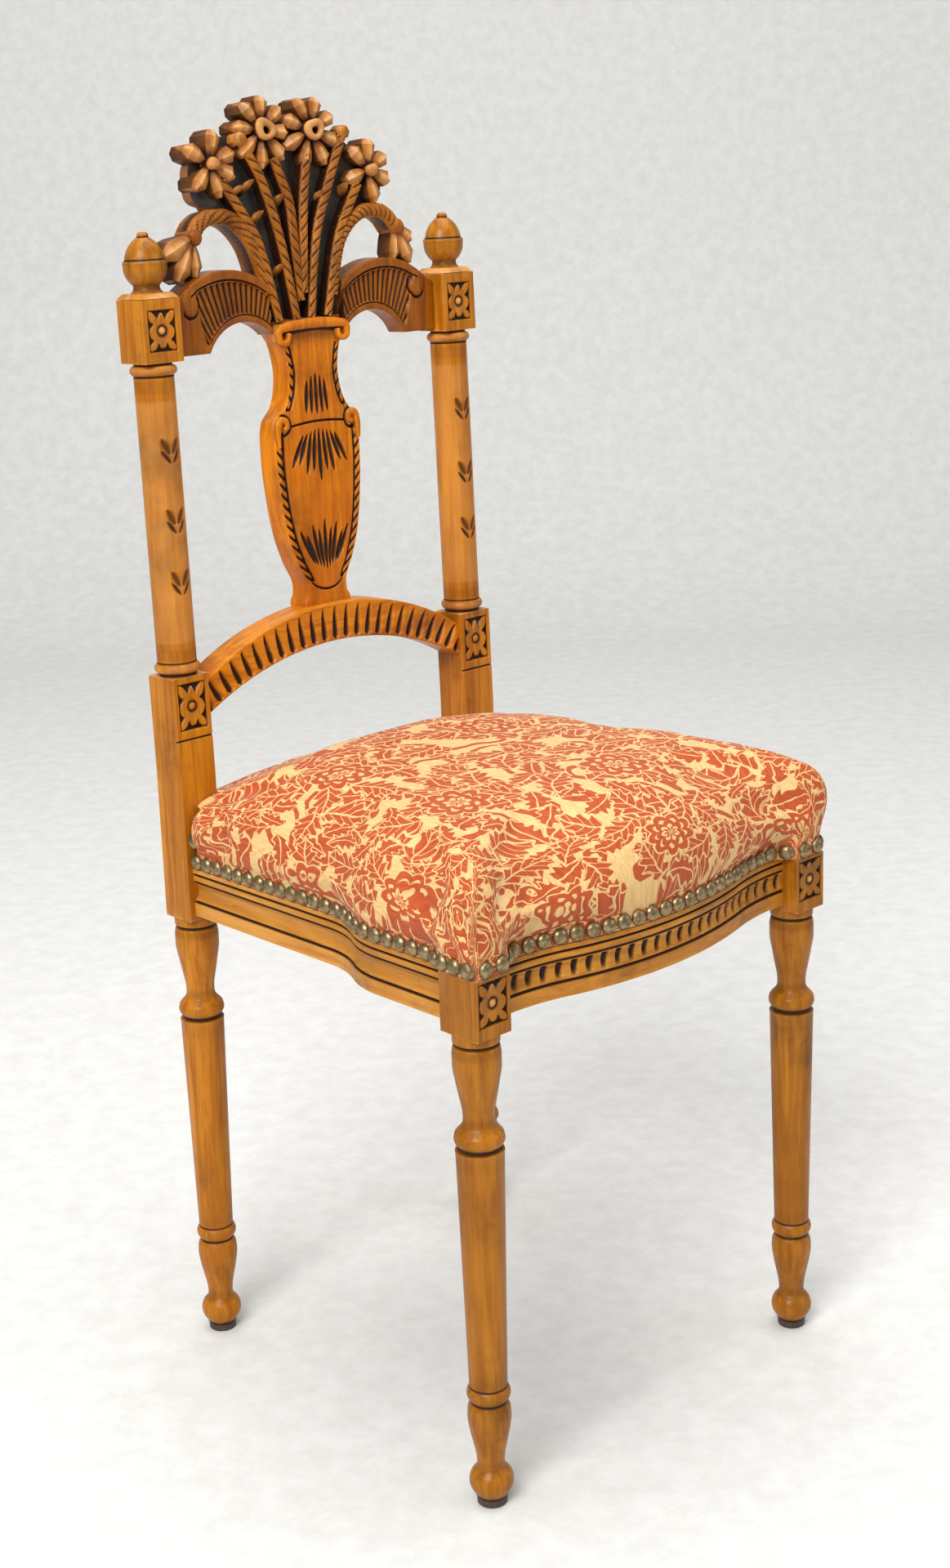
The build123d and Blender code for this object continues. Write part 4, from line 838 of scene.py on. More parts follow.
def moulded_rail(carving, path, inner, fluted):
    """Adds a rail along the path of its outer face, with its moulding cut into it."""
    heights = np.unique(np.concatenate([np.arange(0, 52.1, 0.75), moulding_heights]))
    cut = np.interp(heights, moulding_heights, moulding_cuts)[None, :]
    grooves = [np.clip(1.4 - np.abs(heights - place) / groove_half, 0, 1) for place in groove_heights]
    dark = np.max(grooves, axis=0)
    run = headings(path)
    out = np.stack([run[:, 1], -run[:, 0]], axis=1)
    cove = np.clip((heights - cove_foot) * (cove_top - heights) / 20, 0, 1)[None, :]
    stain_and_shading = np.maximum(np.repeat(dark[None, :], len(path), axis=0), 0.18 * cove)
    if fluted:
        along = lengths(path)
        gap = np.abs(along / along[-1] * flute_count % 1 - 0.5)[:, None]
        slot = np.clip(1 - (gap / 0.25) ** 2, 0, 1)
        tall = np.clip((heights - cove_foot) / (cove_top - cove_foot), 0, 1)[None, :]
        cut = cut + cove * (flute_depth * slot * (0.5 + 0.5 * tall) - flute_proud)
        # Painted shadow in the flutes, darkest towards their tops
        stain_and_shading = np.maximum(stain_and_shading, cove * np.clip(1.5 * slot * (0.25 + tall), 0, 1))
    cut = np.broadcast_to(cut, stain_and_shading.shape)
    outer = np.concatenate([path[:, None, :] - out[:, None, :] * cut[..., None],
                            np.broadcast_to(rail_bottom + heights[None, :, None], (*cut.shape, 1))], axis=-1)
    top, bottom = np.full((len(path), 1), rail_top), np.full((len(path), 1), rail_bottom)
    rear = np.stack([np.hstack([inner, top]), np.hstack([inner, bottom])], axis=1)
    carving.loft(np.concatenate([outer, rear], axis=1), np.hstack([stain_and_shading, np.zeros((len(path), 2))]))


def front_half():
    """The right half of the serpentine front, from the middle of the bow to its straight end."""
    bow = turning_arc((0, bow_y), 0, bow_share * bow_radii, bow_angle, 40)
    dip = turning_arc(bow[-1], bow_angle, (1 - bow_share) * bow_radii, -bow_angle, 40)
    return np.vstack([bow, dip[1:]])


def side_sweep():
    """The sweep of the right side, from front to rear."""
    first = turning_arc((side_front_x, sweep_start_y), math.pi / 2, sweep_radius, sweep_angle)
    second = turning_arc(first[-1], math.pi / 2 + sweep_angle, sweep_radius, -sweep_angle)
    return np.vstack([first, second[1:]])


def front_rail():
    made = Carving()
    half = np.vstack([front_half(), [[block_inner_x, rail_end_y]]])
    path = paced(np.vstack([half[:0:-1] * (-1, 1), half]), 1.0)
    inner = np.stack([path[:, 0], np.full(len(path), block_rear_y)], axis=1)
    moulded_rail(made, path, inner, True)
    return made


def side_rail():
    made = Carving()
    route = np.vstack([[[side_front_x, block_rear_y]], side_sweep(), [[side_rear_x, post_front_y]]])
    path = paced(route, 2.0)
    inner_x = np.interp(path[:, 1], (block_rear_y, post_front_y), (block_inner_x, side_inner_rear_x))
    moulded_rail(made, path, np.stack([inner_x, path[:, 1]], axis=1), False)
    return made


def circle_height(x, top, radius):
    """The height of a circle over the middle of the chair, with its highest point at top."""
    return top - radius + np.sqrt(radius**2 - x**2)


arch_flutes = 25
arch_flute_depth = 3.0


def arched_rail():
    made = Carving()
    rows = np.linspace(-post_inner_x, post_inner_x, 400)
    low = circle_height(rows, arch_foot, arch_bottom_radius)
    high = circle_height(rows, arch_top, arch_top_radius)

    def flutes(face):
        turn = np.arctan2(face.x, face.y - arch_top + arch_top_radius)
        share = (face.y - low[:, None]) / (high - low)[:, None]
        gap = np.abs((turn - turn.min()) / (turn.max() - turn.min()) * arch_flutes % 1 - 0.5)
        fade = np.clip((0.9 - share) / 0.6, 0, 1) ** 0.5 * np.clip((share - 0.02) / 0.1, 0, 1)
        reach = np.maximum(0.34 * fade, 0.02)
        scoop = np.where(reach > 0.03, np.clip(1 - (gap / reach) ** 2, 0, 1), 0)
        face.lift = face.lift - arch_flute_depth * scoop
        face.stain_and_shading = np.where(reach > 0.03, np.clip(1.35 - 1.5 * gap / reach, 0, 0.92), 0)
        face.stain_and_shading = np.maximum(face.stain_and_shading, 0.2 * np.clip(1 - share, 0, 1))

    panel(made, back, rows, low, high, 52, arch_forward, arch_rear, flutes, tall=False, ease=1.6)
    return made


def bead(carving, place, route, halves, crown, floors):
    """Adds a rounded band along a route; its half widths and floors are spread evenly from end to end."""
    path = curved(route, 0.7)
    run = headings(path)
    share = (lengths(path) / lengths(path)[-1])[:, None]
    half = np.interp(share, np.linspace(0, 1, len(halves)), halves)
    floor = np.interp(share, np.linspace(0, 1, len(floors)), floors)
    turn = np.linspace(0, math.pi, 9)[None, :]
    across = np.hstack([half * np.cos(turn), -half, half])
    ahead = np.hstack([crown - 0.7 * half * (1 - np.sin(turn)), floor, floor])
    shade = np.repeat(np.clip(0.4 - np.sin(turn), 0, 1), len(path), axis=0)
    stain_and_shading = np.hstack([shade, np.full((len(path), 2), 0.3)])
    carving.loft(place(path[:, :1] - run[:, 1:] * across, path[:, 1:] + run[:, :1] * across, ahead), stain_and_shading)


vase_half = flowing(
    (583, 597.5, 604.8, 612, 634, 656.5, 690, 718, 734.5, 748, 754, 759.4, 772, 786, 800, 810, 818),
    (24, 24, 21, 20.5, 29.6, 37, 42.2, 44, 44, 41.5, 36.5, 31.75, 27.2, 25.5, 27.3, 30, 32))
vase_sink, vase_top = 4.0, 821.5
vase_body, vase_neck = (617, 741), (757, 808)
vase_swell = 2.0
vase_shoulder, shoulder_half = 745.0, 31
body_rope, neck_rope, rope_pitch, rope_depth = 7.0, 5.2, 8.6, 1.8
lip_shade, neck_shade, neck_shade_reach = 814.5, 803, 12
hook_x, hook_height, hook_radius = 36.5, 746, 8.2
bowl_height, bowl_half, bowl_drop = 625, 19.5, 16
gouge_depth = 2.4
# Fans of gouges: how many to a side; the pitch, height and fall of their roots and of their tips; how far
# every other tip is set off; and the width of a gouge
vase_fans = ((4, 2.9, 625, 1.4, 6.4, 667, -1.8, -6, 5.8), (4, 4.0, 741, -1.2, 7.2, 697, 3.5, 5, 6.0),
             (2, 4.4, 786, -3, 5.6, 751, 1, 0, 5.6))


def vase_relief(face):
    """The vase's carving: roped edges, hooks at its shoulders, a bowl at its foot, and fans of gouges."""
    half = vase_half(face.y)
    inward = half - np.abs(face.x)
    neck = (face.y > vase_neck[0]) & (face.y < vase_neck[1])
    roped = neck | (face.y > vase_body[0]) & (face.y < vase_body[1])
    rope = np.where(neck, neck_rope, body_rope)
    face.lift = face.lift + vase_swell * np.clip(1 - (face.x / half) ** 2, 0, 1)
    # Painted shadow under the lip, fading down the neck
    under_lip = lip_shade + 3 * np.clip(1 - (face.x / 28) ** 2, 0, 1)
    face.stain_and_shading = np.clip((face.y - under_lip) / 2, 0, 1)
    face.stain_and_shading = np.maximum(face.stain_and_shading, 0.5 * np.clip((face.y - neck_shade) / neck_shade_reach, 0, 1))
    face.stain_and_shading = np.maximum(face.stain_and_shading, 0.3 * np.clip(1 - np.abs(inward - rope) / 9, 0, 1))
    face.line(inward - rope, 3.2, 2.1, roped)
    notch = np.abs((face.y / rope_pitch + inward / 8.0) % 1 - 0.5) / (0.19 + 0.030 * inward)
    face.cut(np.where(roped & (inward < rope) & (inward > 0.6), np.clip(1 - notch, 0, 1), 0), rope_depth)
    for side in (-1, 1):
        hook = np.hypot(face.x - side * hook_x, face.y - hook_height)
        face.line(hook - hook_radius, 3.4, 1.8, (face.x * side < hook_x + 1.5) & (face.y < vase_neck[0]))
    bowl = bowl_height - bowl_drop * np.sqrt(np.clip(1 - (face.x / bowl_half) ** 2, 0, 1))
    face.line(face.y - bowl, 2.8, 1.8, (np.abs(face.x) < bowl_half) & (face.y < bowl_height - 4))
    sag = 1.5 - 2.5 * (face.x / 30) ** 2
    face.line(face.y - vase_shoulder - sag, 2.8, 1.9, np.abs(face.x) < shoulder_half)
    for count, root_pitch, root, root_fall, tip_pitch, tip, tip_fall, offset, width in vase_fans:
        for place in range(-count, count + 1):
            bent = abs(place)
            face.stroke((root_pitch * place, root + root_fall * bent),
                        (tip_pitch * place, tip + tip_fall * bent + offset * (bent % 2)), width, gouge_depth)


lip_route = ((25.2, 818.4), (26.2, 813.8), (30.4, 811.0), (34.6, 813.2), (35.4, 818.6), (31.5, 822.6),
             (16, 824.3))
hook_route = ((41.6, 729), (41.9, 738), (40.9, 746.5), (37.4, 750.8), (33.0, 749.4), (32.0, 745.0),
              (35.2, 742.8))
lip_plate_foot = 812.0


def vase():
    made = Carving()
    heights = np.arange(arch_top - vase_sink, vase_top, 0.62)

    def standing(across, height, ahead):
        drop = arch_top - circle_height(across, arch_top, arch_top_radius)
        near = np.clip((arch_top + 10 - height) / 14, 0, 1)
        return back(across, height + near * (vase_sink - drop - 0.1), ahead)

    panel(made, standing, heights, -vase_half(heights), vase_half(heights), 150, board_forward, board_rear,
          vase_relief, flank=0.12)
    mirror = [(-x, height) for x, height in lip_route]
    front, rear = board_forward - 3.0, board_rear
    bead(made, back, (*mirror, (0, 824.8), *lip_route[::-1]), (1.7, 3.0, 4.1, 4.2, 4.1, 3.0, 1.7),
         board_forward + 5.0, (front, front, rear, rear, rear, front, front))
    heights = np.arange(lip_plate_foot, lip_top, 1.2)
    half = np.interp(heights, (lip_plate_foot, lip_plate_foot + 10), (31.0, lip_half - 0.1))
    panel(made, back, heights, -half, half, 24, board_forward - 8.0, rear)
    for side in (-1, 1):
        bead(made, back, [(side * x, height) for x, height in hook_route], (1.4, 2.4, 2.9, 2.6, 1.8),
             board_forward + 3.2, (front, front))
    return made


wing_foot_x = 101.0
wing_lobe_x = 127.0
wing_foot = 809.0
wing_end = 849.0
band_width, bead_width = 8.8, 6.2
reed_pitch, reed_sink, reed_depth = 4.7, 1.8, 2.6
reed_fan, reed_reach, reed_end = (66, 762), 82, 112
lobe_middle, lobe_half, lobe_lift = (117, 848.5), (7.8, 10.5), 1.8


def wing():
    """The right crest wing: a scrolled band over a fan of reeds, and a bead under them."""
    made = Carving()
    rows = np.linspace(lip_half + 0.1, upper_inner_x, 190)
    upper = trace((lip_half, 856), ((82.5, 871.5), (wing_lobe_x, 853.5)), (upper_inner_x, wing_end))
    lower = trace((lip_half, 818), ((69.5, 830.5), (wing_foot_x, wing_foot)), (upper_inner_x, wing_foot))
    high = np.interp(rows, upper[:, 0], upper[:, 1])
    low = np.interp(rows, lower[:, 0], lower[:, 1])

    def reeds(face):
        under, over = face.y - low[:, None], high[:, None] - face.y
        end = reed_end - 0.24 * (wing_end - face.y)
        field = np.minimum(np.minimum(over - band_width, under - bead_width), end - face.x)
        sunk = np.clip(field / 0.9, 0, 1)
        turn = np.arctan2(face.x - reed_fan[0], face.y - reed_fan[1]) * reed_reach / reed_pitch
        reed = np.abs(2 * (turn % 1) - 1)
        face.lift = face.lift - sunk * (reed_sink + reed_depth * (1 - np.sqrt(1 - 0.96 * reed**2)))
        face.stain_and_shading = sunk * np.clip(2.4 * reed**2 - 0.45, -0.4, 1)
        face.line(over - band_width + 1.0, 2.2, 1.8, face.x < end + 4)
        face.line(under - bead_width + 0.6, 1.8, 1.5, face.x < wing_foot_x - 1)
        lobe = np.hypot((face.x - lobe_middle[0]) / lobe_half[0], (face.y - lobe_middle[1]) / lobe_half[1])
        face.lift = face.lift + lobe_lift * np.clip(1.2 - lobe**4, 0, 1)
        inner = (face.y < lobe_middle[1] + 4.5) & (face.x < lobe_middle[0] + 7)
        face.line((lobe - 1.1) * 8, 2.4, 1.9, inner)

    panel(made, back, rows, low, high, 84, board_forward, board_rear, reeds, tall=False, ease=1.4)
    return made


# The bouquet: places are across and above the lip of the vase. A ring flower has a turn, a daisy its petals
# by angle and reach, a drooping flower also their width, a bud its lean, and a corner of the ground the
# bulge of the edge after it.
ground_depth = 11.0
bouquet_rear = -21.5
petal_rear = bouquet_rear + 0.4
ring_flowers = ((-27, 147.5, 40), (22.5, 146.5, 25))
daisies = (((-81, 123.5), ((77, 26), (150, 25), (230, 25), (287, 27), (334, 25), (18, 26))),
           ((79, 113.5), ((84, 25), (28, 24), (-24, 24), (281, 27), (199, 24), (131, 24))))
drooping = (((-105, 69), ((205, 31, 17), (241, 37, 15), (272, 30, 11))),
            ((103, 67), ((-38, 20, 12), (-66, 33, 14), (-98, 28, 11))))
stems = (((-31, 0), (-42.6, 59), (-72, 110)), ((-12.8, 0), (-19.8, 58), (-32.8, 109), (-50, 141)),
         ((-6.2, 14), (-6.2, 82), (-18, 126)), ((-2.7, 20), (6.4, 88), (15.5, 128)),
         ((2, 0), (16, 62), (39, 112), (55.5, 144)), ((19.3, 0), (40, 61), (66, 103)))
stem_half, stem_crown, stem_pitch = 4.2, 2.2, 10.0
# The arching stems: a route, half a width, and the pitch, lean and twist of the rope
arch_stems = ((((-39, 22), (-46, 56), (-60, 76.5), (-73, 83), (-86, 83), (-97, 78), (-104, 69)),
               6.0, 9.0, 1.0, 3.2),
              (((28, 17), (40, 54.5), (49, 67.5), (61, 77), (74, 81.5), (87, 81), (97, 75.5), (104, 66)),
               5.4, 5.6, -1.0, 1.6))
arch_stem_crown = 1.2
buds = ((-46, 104, 0.6), (-39.5, 80, 0.5), (-24, 38, 0.3), (27, 93, -0.4), (50, 74, -0.7), (53, 98, -0.6),
        (-15.6, 92, 0.1), (35, 36, -0.5), (-58, 100, 0.7), (3, 66, 0.0))
ground_outline = ((-37, 0, 0), (-38, 28, 0), (-46, 52, -2), (-70, 82, 3), (-84, 92, 5), (-96, 108, 5),
                  (-84, 132, 3), (-50, 146, 0), (-27, 150, 0), (22, 150, 0), (54, 146, 0), (80, 124, 3),
                  (98, 106, 5), (88, 90, 5), (70, 80, 3), (54, 70, -2), (44, 48, -2), (38, 28, 0),
                  (37, 0, 0))


# A petal: half its width and its dip at shares of its length, and how far it falls at places across it
petal_shares = np.array([0, 0.42, 0.76, 1.0])
petal_halves = np.array([0.4, 0.84, 1.0, 0.44])
petal_dips = np.array([2.4, 0.4, 0.0, 3.4])
petal_sides = np.array([-1, -0.94, -0.1, 0.94, 1])
petal_falls = np.array([4.6, 2.8, 0, 3.2, 4.6])
# How a petal is painted: a painted highlight on its ridge, and painted shade at its edges, on its walls and
# at its root
ridge_highlight, edge_shade, wall_shade, root_shade = -0.75, 0.55, 0.7, 1.0


def petal(carving, hub, angle, reach, wide, crown, rear, start):
    """Adds one thick petal: a ridged and faceted face on a wall as deep as the board."""
    along = np.repeat((start + (reach - start) * petal_shares)[:, None], len(petal_sides) + 2, axis=1)
    across = wide / 2 * petal_halves[:, None] * petal_sides
    across = np.hstack([across, across[:, -1:], across[:, :1]])
    ahead = np.hstack([crown - petal_falls - petal_dips[:, None], np.full((len(petal_shares), 2), rear)])
    turn = math.radians(angle)
    x = hub[0] + along * math.cos(turn) - across * math.sin(turn)
    y = hub[1] + along * math.sin(turn) + across * math.cos(turn)
    stain_and_shading = np.zeros(ahead.shape)
    stain_and_shading[1:, 2] = ridge_highlight
    stain_and_shading[:, (0, 4)] = edge_shade
    stain_and_shading[:, -2:] = wall_shade
    stain_and_shading[0] = root_shade
    carving.loft(bloom(x, y, ahead), stain_and_shading)


def twisted_stem(carving, route, half, crown, floor, pitch, lean=1.0, twist=1.5, side_shade=0.8):
    """Adds a stem carved like a rope, standing on the wood behind it."""
    path = curved(route, 0.8)
    run = headings(path)
    along = lengths(path)[:, None]
    turn = np.linspace(-0.12, 1.12, 17)[None, :] * math.pi
    strand = np.abs((along / pitch + lean * twist * turn / math.pi) % 1 - 0.5) * 2
    cut = np.clip(1 - strand / 0.42, 0, 1) * np.clip(2.2 * np.sin(turn) - 0.6, 0, 1)
    taper = half * (0.82 + 0.18 * np.clip(along / along[-1] * 2, 0, 1))
    radius = taper * (1 + 0.09 * np.sin(np.pi * strand)) - 1.3 * cut
    across = radius * np.cos(turn)
    ahead = crown - taper + radius * np.sin(turn)
    flank = np.hstack([-0.92 * taper, 0.92 * taper])
    across = np.hstack([across, flank])
    ahead = np.hstack([ahead, np.full(flank.shape, floor)])
    x = path[:, :1] - run[:, 1:] * across
    y = path[:, 1:] + run[:, :1] * across
    # Painted shade in the rope's cuts and down the stem's sides to the wood behind
    shade = np.maximum(0.9 * cut, np.clip(side_shade - 1.5 * np.sin(turn), 0, 1))
    stain_and_shading = np.hstack([shade, np.full(flank.shape, side_shade)])
    carving.loft(bloom(x, y, ahead), stain_and_shading)


def flower_centre(carving, hub, outline, dark=(), pale=0.0):
    """Adds a flower's worn centre, a little out of round, with its hollow off the middle."""

    def place(across, up, ahead):
        turn = np.arctan2(up, across) + hub[0]
        worn = 1 + 0.09 * np.sin(2 * turn) + 0.07 * np.sin(3 * turn + 1)
        aside = 1.3 * np.clip(1 - np.hypot(across, up) / 9, 0, 1)
        return bloom(hub[0] + worn * across + aside, hub[1] + worn * up - aside, ahead - 0.35 * np.sin(turn))

    turned(carving, paced(outline, 0.5), place, 30, dark=dark, pale=pale)


def drooping_flower(carving, hub, petals):
    """Adds a flower that hangs from an arching stem."""
    for number, (angle, reach, wide) in enumerate(petals):
        petal(carving, hub, angle, reach, wide, 3.0 - 1.2 * number, bouquet_rear + 1.5 + 0.4 * number, 0.0)
    rear = bouquet_rear + 3
    flower_centre(carving, hub, trace((0.3, 4.5), ((4.2, 3.5), (5.8, -1)), (5.8, rear), (0.3, rear)))


ring_petals, ring_petal_width = 8, 12.6
ring_reach, low_reach, low_petal_rear = 26.5, 30.0, -13.0
daisy_petal_width = 13.4


def flowers():
    """The bouquet's flowers; the low petals of the ring flowers stand on the ground."""
    made = Carving()
    for x, height, turn in ring_flowers:
        for place in range(ring_petals):
            angle, odd = turn + 360 / ring_petals * place, place % 2
            low = math.sin(math.radians(angle)) < -0.3
            reach = low_reach if low else ring_reach
            rear = low_petal_rear if low else petal_rear + 0.2 * odd
            petal(made, (x, height), angle, reach, ring_petal_width, 3.6 - 0.9 * odd, rear, 7.0)
        ring = trace((2.6, -3.0), (3.2, 3.0), ((5.8, 6.6), (8.8, 2.6)), (9.0, -9), (2.6, -9))
        flower_centre(made, (x, height), ring, ((-1.0, 3.0),), 0.6)
    for hub, petals in daisies:
        for place, (angle, reach) in enumerate(petals):
            odd = place % 2
            petal(made, hub, angle, reach, daisy_petal_width, 3.4 - 0.8 * odd, petal_rear + 0.2 * odd, 4.0)
        dome = trace((0.3, 7.0), ((4.0, 5.6), (5.4, 2.0)), (5.2, -8), (0.3, -8))
        flower_centre(made, hub, dome, ((-2.0, 2.5),), 0.5)
    for hub, petals in drooping:
        drooping_flower(made, hub, petals)
    return made


# A bud: its sections by their place along it and their size, and the corners of a section
bud_rows = ((-1.1, 0.3), (-0.4, 0.8), (0.3, 1.0), (0.9, 0.9))
bud_section = np.array([(-1, -0.6), (0.2, -0.9), (1, -0.2), (0.6, 0.9), (-0.6, 0.9)])
bud_half, bud_length = 4.2, 5.4


def bouquet_stems():
    """The bouquet's stems, the cut ends of two of them, and the buds between them."""
    made = Carving()
    for number, route in enumerate(stems):
        crown = stem_crown - 0.35 * (number % 3)
        lean = 1.0 if number < 3 else -1.0
        twisted_stem(made, route, stem_half, crown, -ground_depth - 0.5, stem_pitch, lean)
    for route, half, pitch, lean, twist in arch_stems:
        twisted_stem(made, route, half, arch_stem_crown, bouquet_rear + 0.6, pitch, lean, twist, 0.3)
    for x, height in (stems[1][-1], stems[4][-1]):
        outline = trace((0.3, 3.6), (3.6, 3.2), (5.6, 1.4), (6.0, -10), (0.3, -10))
        turned(made, outline, lambda across, up, ahead: bloom(x + across, height + up, ahead), 7)
    for x, height, lean in buds:
        loops = []
        for share, size in bud_rows:
            corners = bud_section * bud_half * size
            across = x + corners[:, 0] + lean * 4 * share
            up = height + bud_length * share + 0.3 * corners[:, 1]
            loops.append(bloom(across, up, -5.5 + 4.0 * share + corners[:, 1]))
        made.loft(np.array(loops), np.array([[0.8], [0.5], [0.1], [0.0]]))
    return made


def ground():
    """The sunk ground of the bouquet, with scalloped edges."""
    made = Carving()
    outline = []
    share = np.linspace(0, 1, 9)[:-1]
    for (x, y, bulge), (next_x, next_y, _) in zip(ground_outline, ground_outline[1:] + ground_outline[:1]):
        run = np.array([next_x - x, next_y - y])
        out = np.array([-run[1], run[0]]) / np.linalg.norm(run)
        outline.append((x, y) + np.outer(share, run) + np.outer(bulge * np.sin(np.pi * share), out))
    outline = np.vstack(outline)
    x, y = outline[None, :, 0], outline[None, :, 1]
    ahead = np.array([[bouquet_rear], [-ground_depth - 0.8], [-ground_depth]])
    made.loft(bloom(x, y, np.broadcast_to(ahead, (3, len(outline)))), np.array([[0.0], [0.15], [1.0]]))
    return made


# Nails

nail_z = fabric_line + 7.0
nail_radius = 6.2
nail_height = 4.2
nail_lift = 0.3
front_nails, block_front_nails, block_side_nails, side_nails, rear_nails = 11, 2, 3, 23, 20
extra_nail_rise = 16.5


def nail_places(path, count):
    """Places and outward directions of nails spaced evenly along a path, which has the seat on its left."""
    dense = paced(np.array(path, float), 0.5)
    along = lengths(dense)
    at = (np.arange(count) + 0.5) / count * along[-1]
    run = headings(dense)
    places = np.stack([np.interp(at, along, dense[:, axis]) for axis in (0, 1)], axis=1)
    run = np.stack([np.interp(at, along, run[:, axis]) for axis in (0, 1)], axis=1)
    return [(place, np.array([heading[1], -heading[0]])) for place, heading in zip(places, run)]


nail_shape = np.array([(1.0, 0.0), (1.0, 0.12), (0.96, 0.32), (0.85, 0.56), (0.66, 0.79), (0.43, 0.93),
                       (0.2, 0.99), (0.02, 1.0)]) * (nail_radius, nail_height)


def nail(carving, place, out, seed, height=nail_z):
    """Adds a domed nail, hammered in a little askew."""
    tilt = np.random.default_rng(seed).uniform(-0.5, 0.5, 3)
    angle = np.linspace(0, 2 * math.pi, 20, endpoint=False)[None, :]
    radius, lift = nail_shape[:, :1], nail_shape[:, 1:]
    side = np.array([-out[1], out[0]])
    across, up = radius * np.cos(angle), radius * np.sin(angle)
    lift = nail_lift + lift + 0.05 * tilt[0] * across + 0.05 * tilt[1] * up
    x, y = (place[axis] + side[axis] * across + out[axis] * lift for axis in (0, 1))
    carving.loft(np.stack([x, y, height + 0.6 * tilt[2] + up], axis=-1))


def nail_rows():
    """Rows of nails along the front, the sides and the back; gives back those of the front and the right."""
    brass = antique_brass()
    front, side, rear = Carving(), Carving(), Carving()
    corner = (block_inner_x, block_front_y)
    half = (nail_places(front_half(), front_nails) + nail_places([(bow_span, rail_end_y), corner], 1)
            + nail_places([corner, (block_outer_x - 1.5, block_front_y)], block_front_nails))
    for seed, (place, out) in enumerate(half):
        nail(front, place, out, seed)
        nail(front, place * (-1, 1), out * (-1, 1), seed + 50)
    sweep = np.vstack([[[side_front_x, block_rear_y + 1.25 * rail_end_straight]], side_sweep(),
                       [[side_rear_x, post_front_y]]])
    flank = [(block_outer_x, block_front_y + 1.0), (block_outer_x, block_rear_y + 1.0)]
    step = [(block_outer_x, block_rear_y), (side_front_x, block_rear_y + rail_end_straight)]
    row = nail_places(flank, block_side_nails) + nail_places(step, 1) + nail_places(sweep, side_nails)
    for seed, (place, out) in enumerate(row):
        nail(side, place, out, seed + 100)
    place, out = row[-1]
    nail(side, place + (0, 1.2), out, 140, nail_z + extra_nail_rise)
    edge = [(post_inner_x, seat_rear_y), (-post_inner_x, seat_rear_y)]
    for seed, (place, out) in enumerate(nail_places(edge, rear_nails)):
        nail(rear, place, out, seed + 150)
    piece("nail_row_front", front, brass, "brass_nails", "nails_front")
    pair("nail_row", side, brass, "brass_nails", "nails")
    piece("nail_row_back", rear, brass, "brass_nails", "nails_back")
    return half + row


# Seat

post_clearance = 0.7
tuck_reach = 10.0
tuck_radius = 9.0
pad_edge = 480.0
pad_crown = 15.0
pad_cells = 72
# Rings of the cover: a height, how far in from the rails' faces, how far grown, and how far rounded in plan
pad_rings = ((428.6, 4.6, 1.0, 0.0), (411.6, 4.6, 1.0, 0.0), (411.2, 4.0, 1.0, 0.0), (411.2, 0.6, 1.0, 0.0),
             (411.7, 0.0, 1.0, 0.0), (415, 0.0, 1.0, 0.0), (419, 0.0, 1.0, 0.0), (424, 0.0, 1.0, 0.0),
             (429, 0.0, 1.012, 0.08), (434.5, 0.0, 1.025, 0.25), (440, 0.0, 1.037, 0.45),
             (446, 0.0, 1.045, 0.65), (452, 0.0, 1.048, 0.8), (458.5, 0.0, 1.047, 0.9),
             (465.5, 0.0, 1.041, 1.0), (471.5, 0.0, 1.029, 1.0), (476.5, 0.0, 1.011, 1.0),
             (pad_edge, 0.0, 0.986, 1.0))
underside = pad_rings[0][0]
rear_growth = 1.02
plan_rounds = 36
stuffing_foot = 424.0
front_rise = 4.0
rear_fall, rear_slope = 12.0, 50.0
corner_fall, corner_reach, corner_ahead = 11.0, 125.0, 20.0


def eased(edge, rounds, reach):
    """Smooths an edge of the seat's plan, up to a share of its length, with its ends kept."""
    share = np.linspace(0, 1, len(edge))[1:-1, None]
    weight = np.clip((reach - share) / 0.15, 0, 1)
    for _ in range(rounds):
        edge = edge.copy()
        edge[1:-1] += weight * (edge[:-2] + edge[2:] - 2 * edge[1:-1]) / 4
    return edge


def seat_edges(inset, growth, ease):
    """The right half of the covered seat's plan: its front, its side and its rear, as lines of points."""

    def grown(points):
        return np.array(points, float) * growth + (0, seat_middle_y * (1 - growth))

    face_y = block_front_y + inset
    edge_x = block_outer_x - inset
    round_off = skirt_corner * (0.7 + ease)
    front = front_half() + (0, inset)
    corner = turning_arc((edge_x - round_off, face_y), 0, round_off, math.pi / 2, 17)
    front = np.vstack([front, [[block_inner_x, face_y]], corner[:9]])
    notch = np.array([post_inner_x - post_clearance, post_front_y - post_clearance])
    sweep = side_sweep() - (inset, 0)
    straight = [[edge_x, block_rear_y], [side_front_x - inset, block_rear_y + rail_end_straight]]
    side = grown(np.vstack([corner[8:], straight, sweep]))
    rear_x = side[-1, 0]
    tuck = turning_arc((rear_x, notch[1] - tuck_radius), math.pi / 2, tuck_radius, math.pi / 2, 9)
    side = np.vstack([side, tuck, [notch]])
    rear_y_edge = seat_middle_y + (seat_rear_y - inset - seat_middle_y) * min(growth, rear_growth)
    rear = np.array([notch, (notch[0], rear_y_edge), (0, rear_y_edge)])
    return grown(front), side, rear


def seat_ring(height, inset, growth, ease):
    """The four edges of the covered seat at a height: front, right, rear and left, counter-clockwise."""
    front, side, rear = seat_edges(inset, growth, ease)
    flip = (-1, 1)
    rounds = round(plan_rounds * ease)
    front = eased(spaced(np.vstack([front[:0:-1] * flip, front]), pad_cells + 1), rounds, 2.0)
    rear = spaced(np.vstack([rear, rear[-2::-1] * flip]), pad_cells + 1)
    right = eased(spaced(side, pad_cells + 1), rounds, 0.72)
    edges = (front, right, rear, right[::-1] * flip)
    return [np.hstack([edge, np.full((len(edge), 1), height)]) for edge in edges]


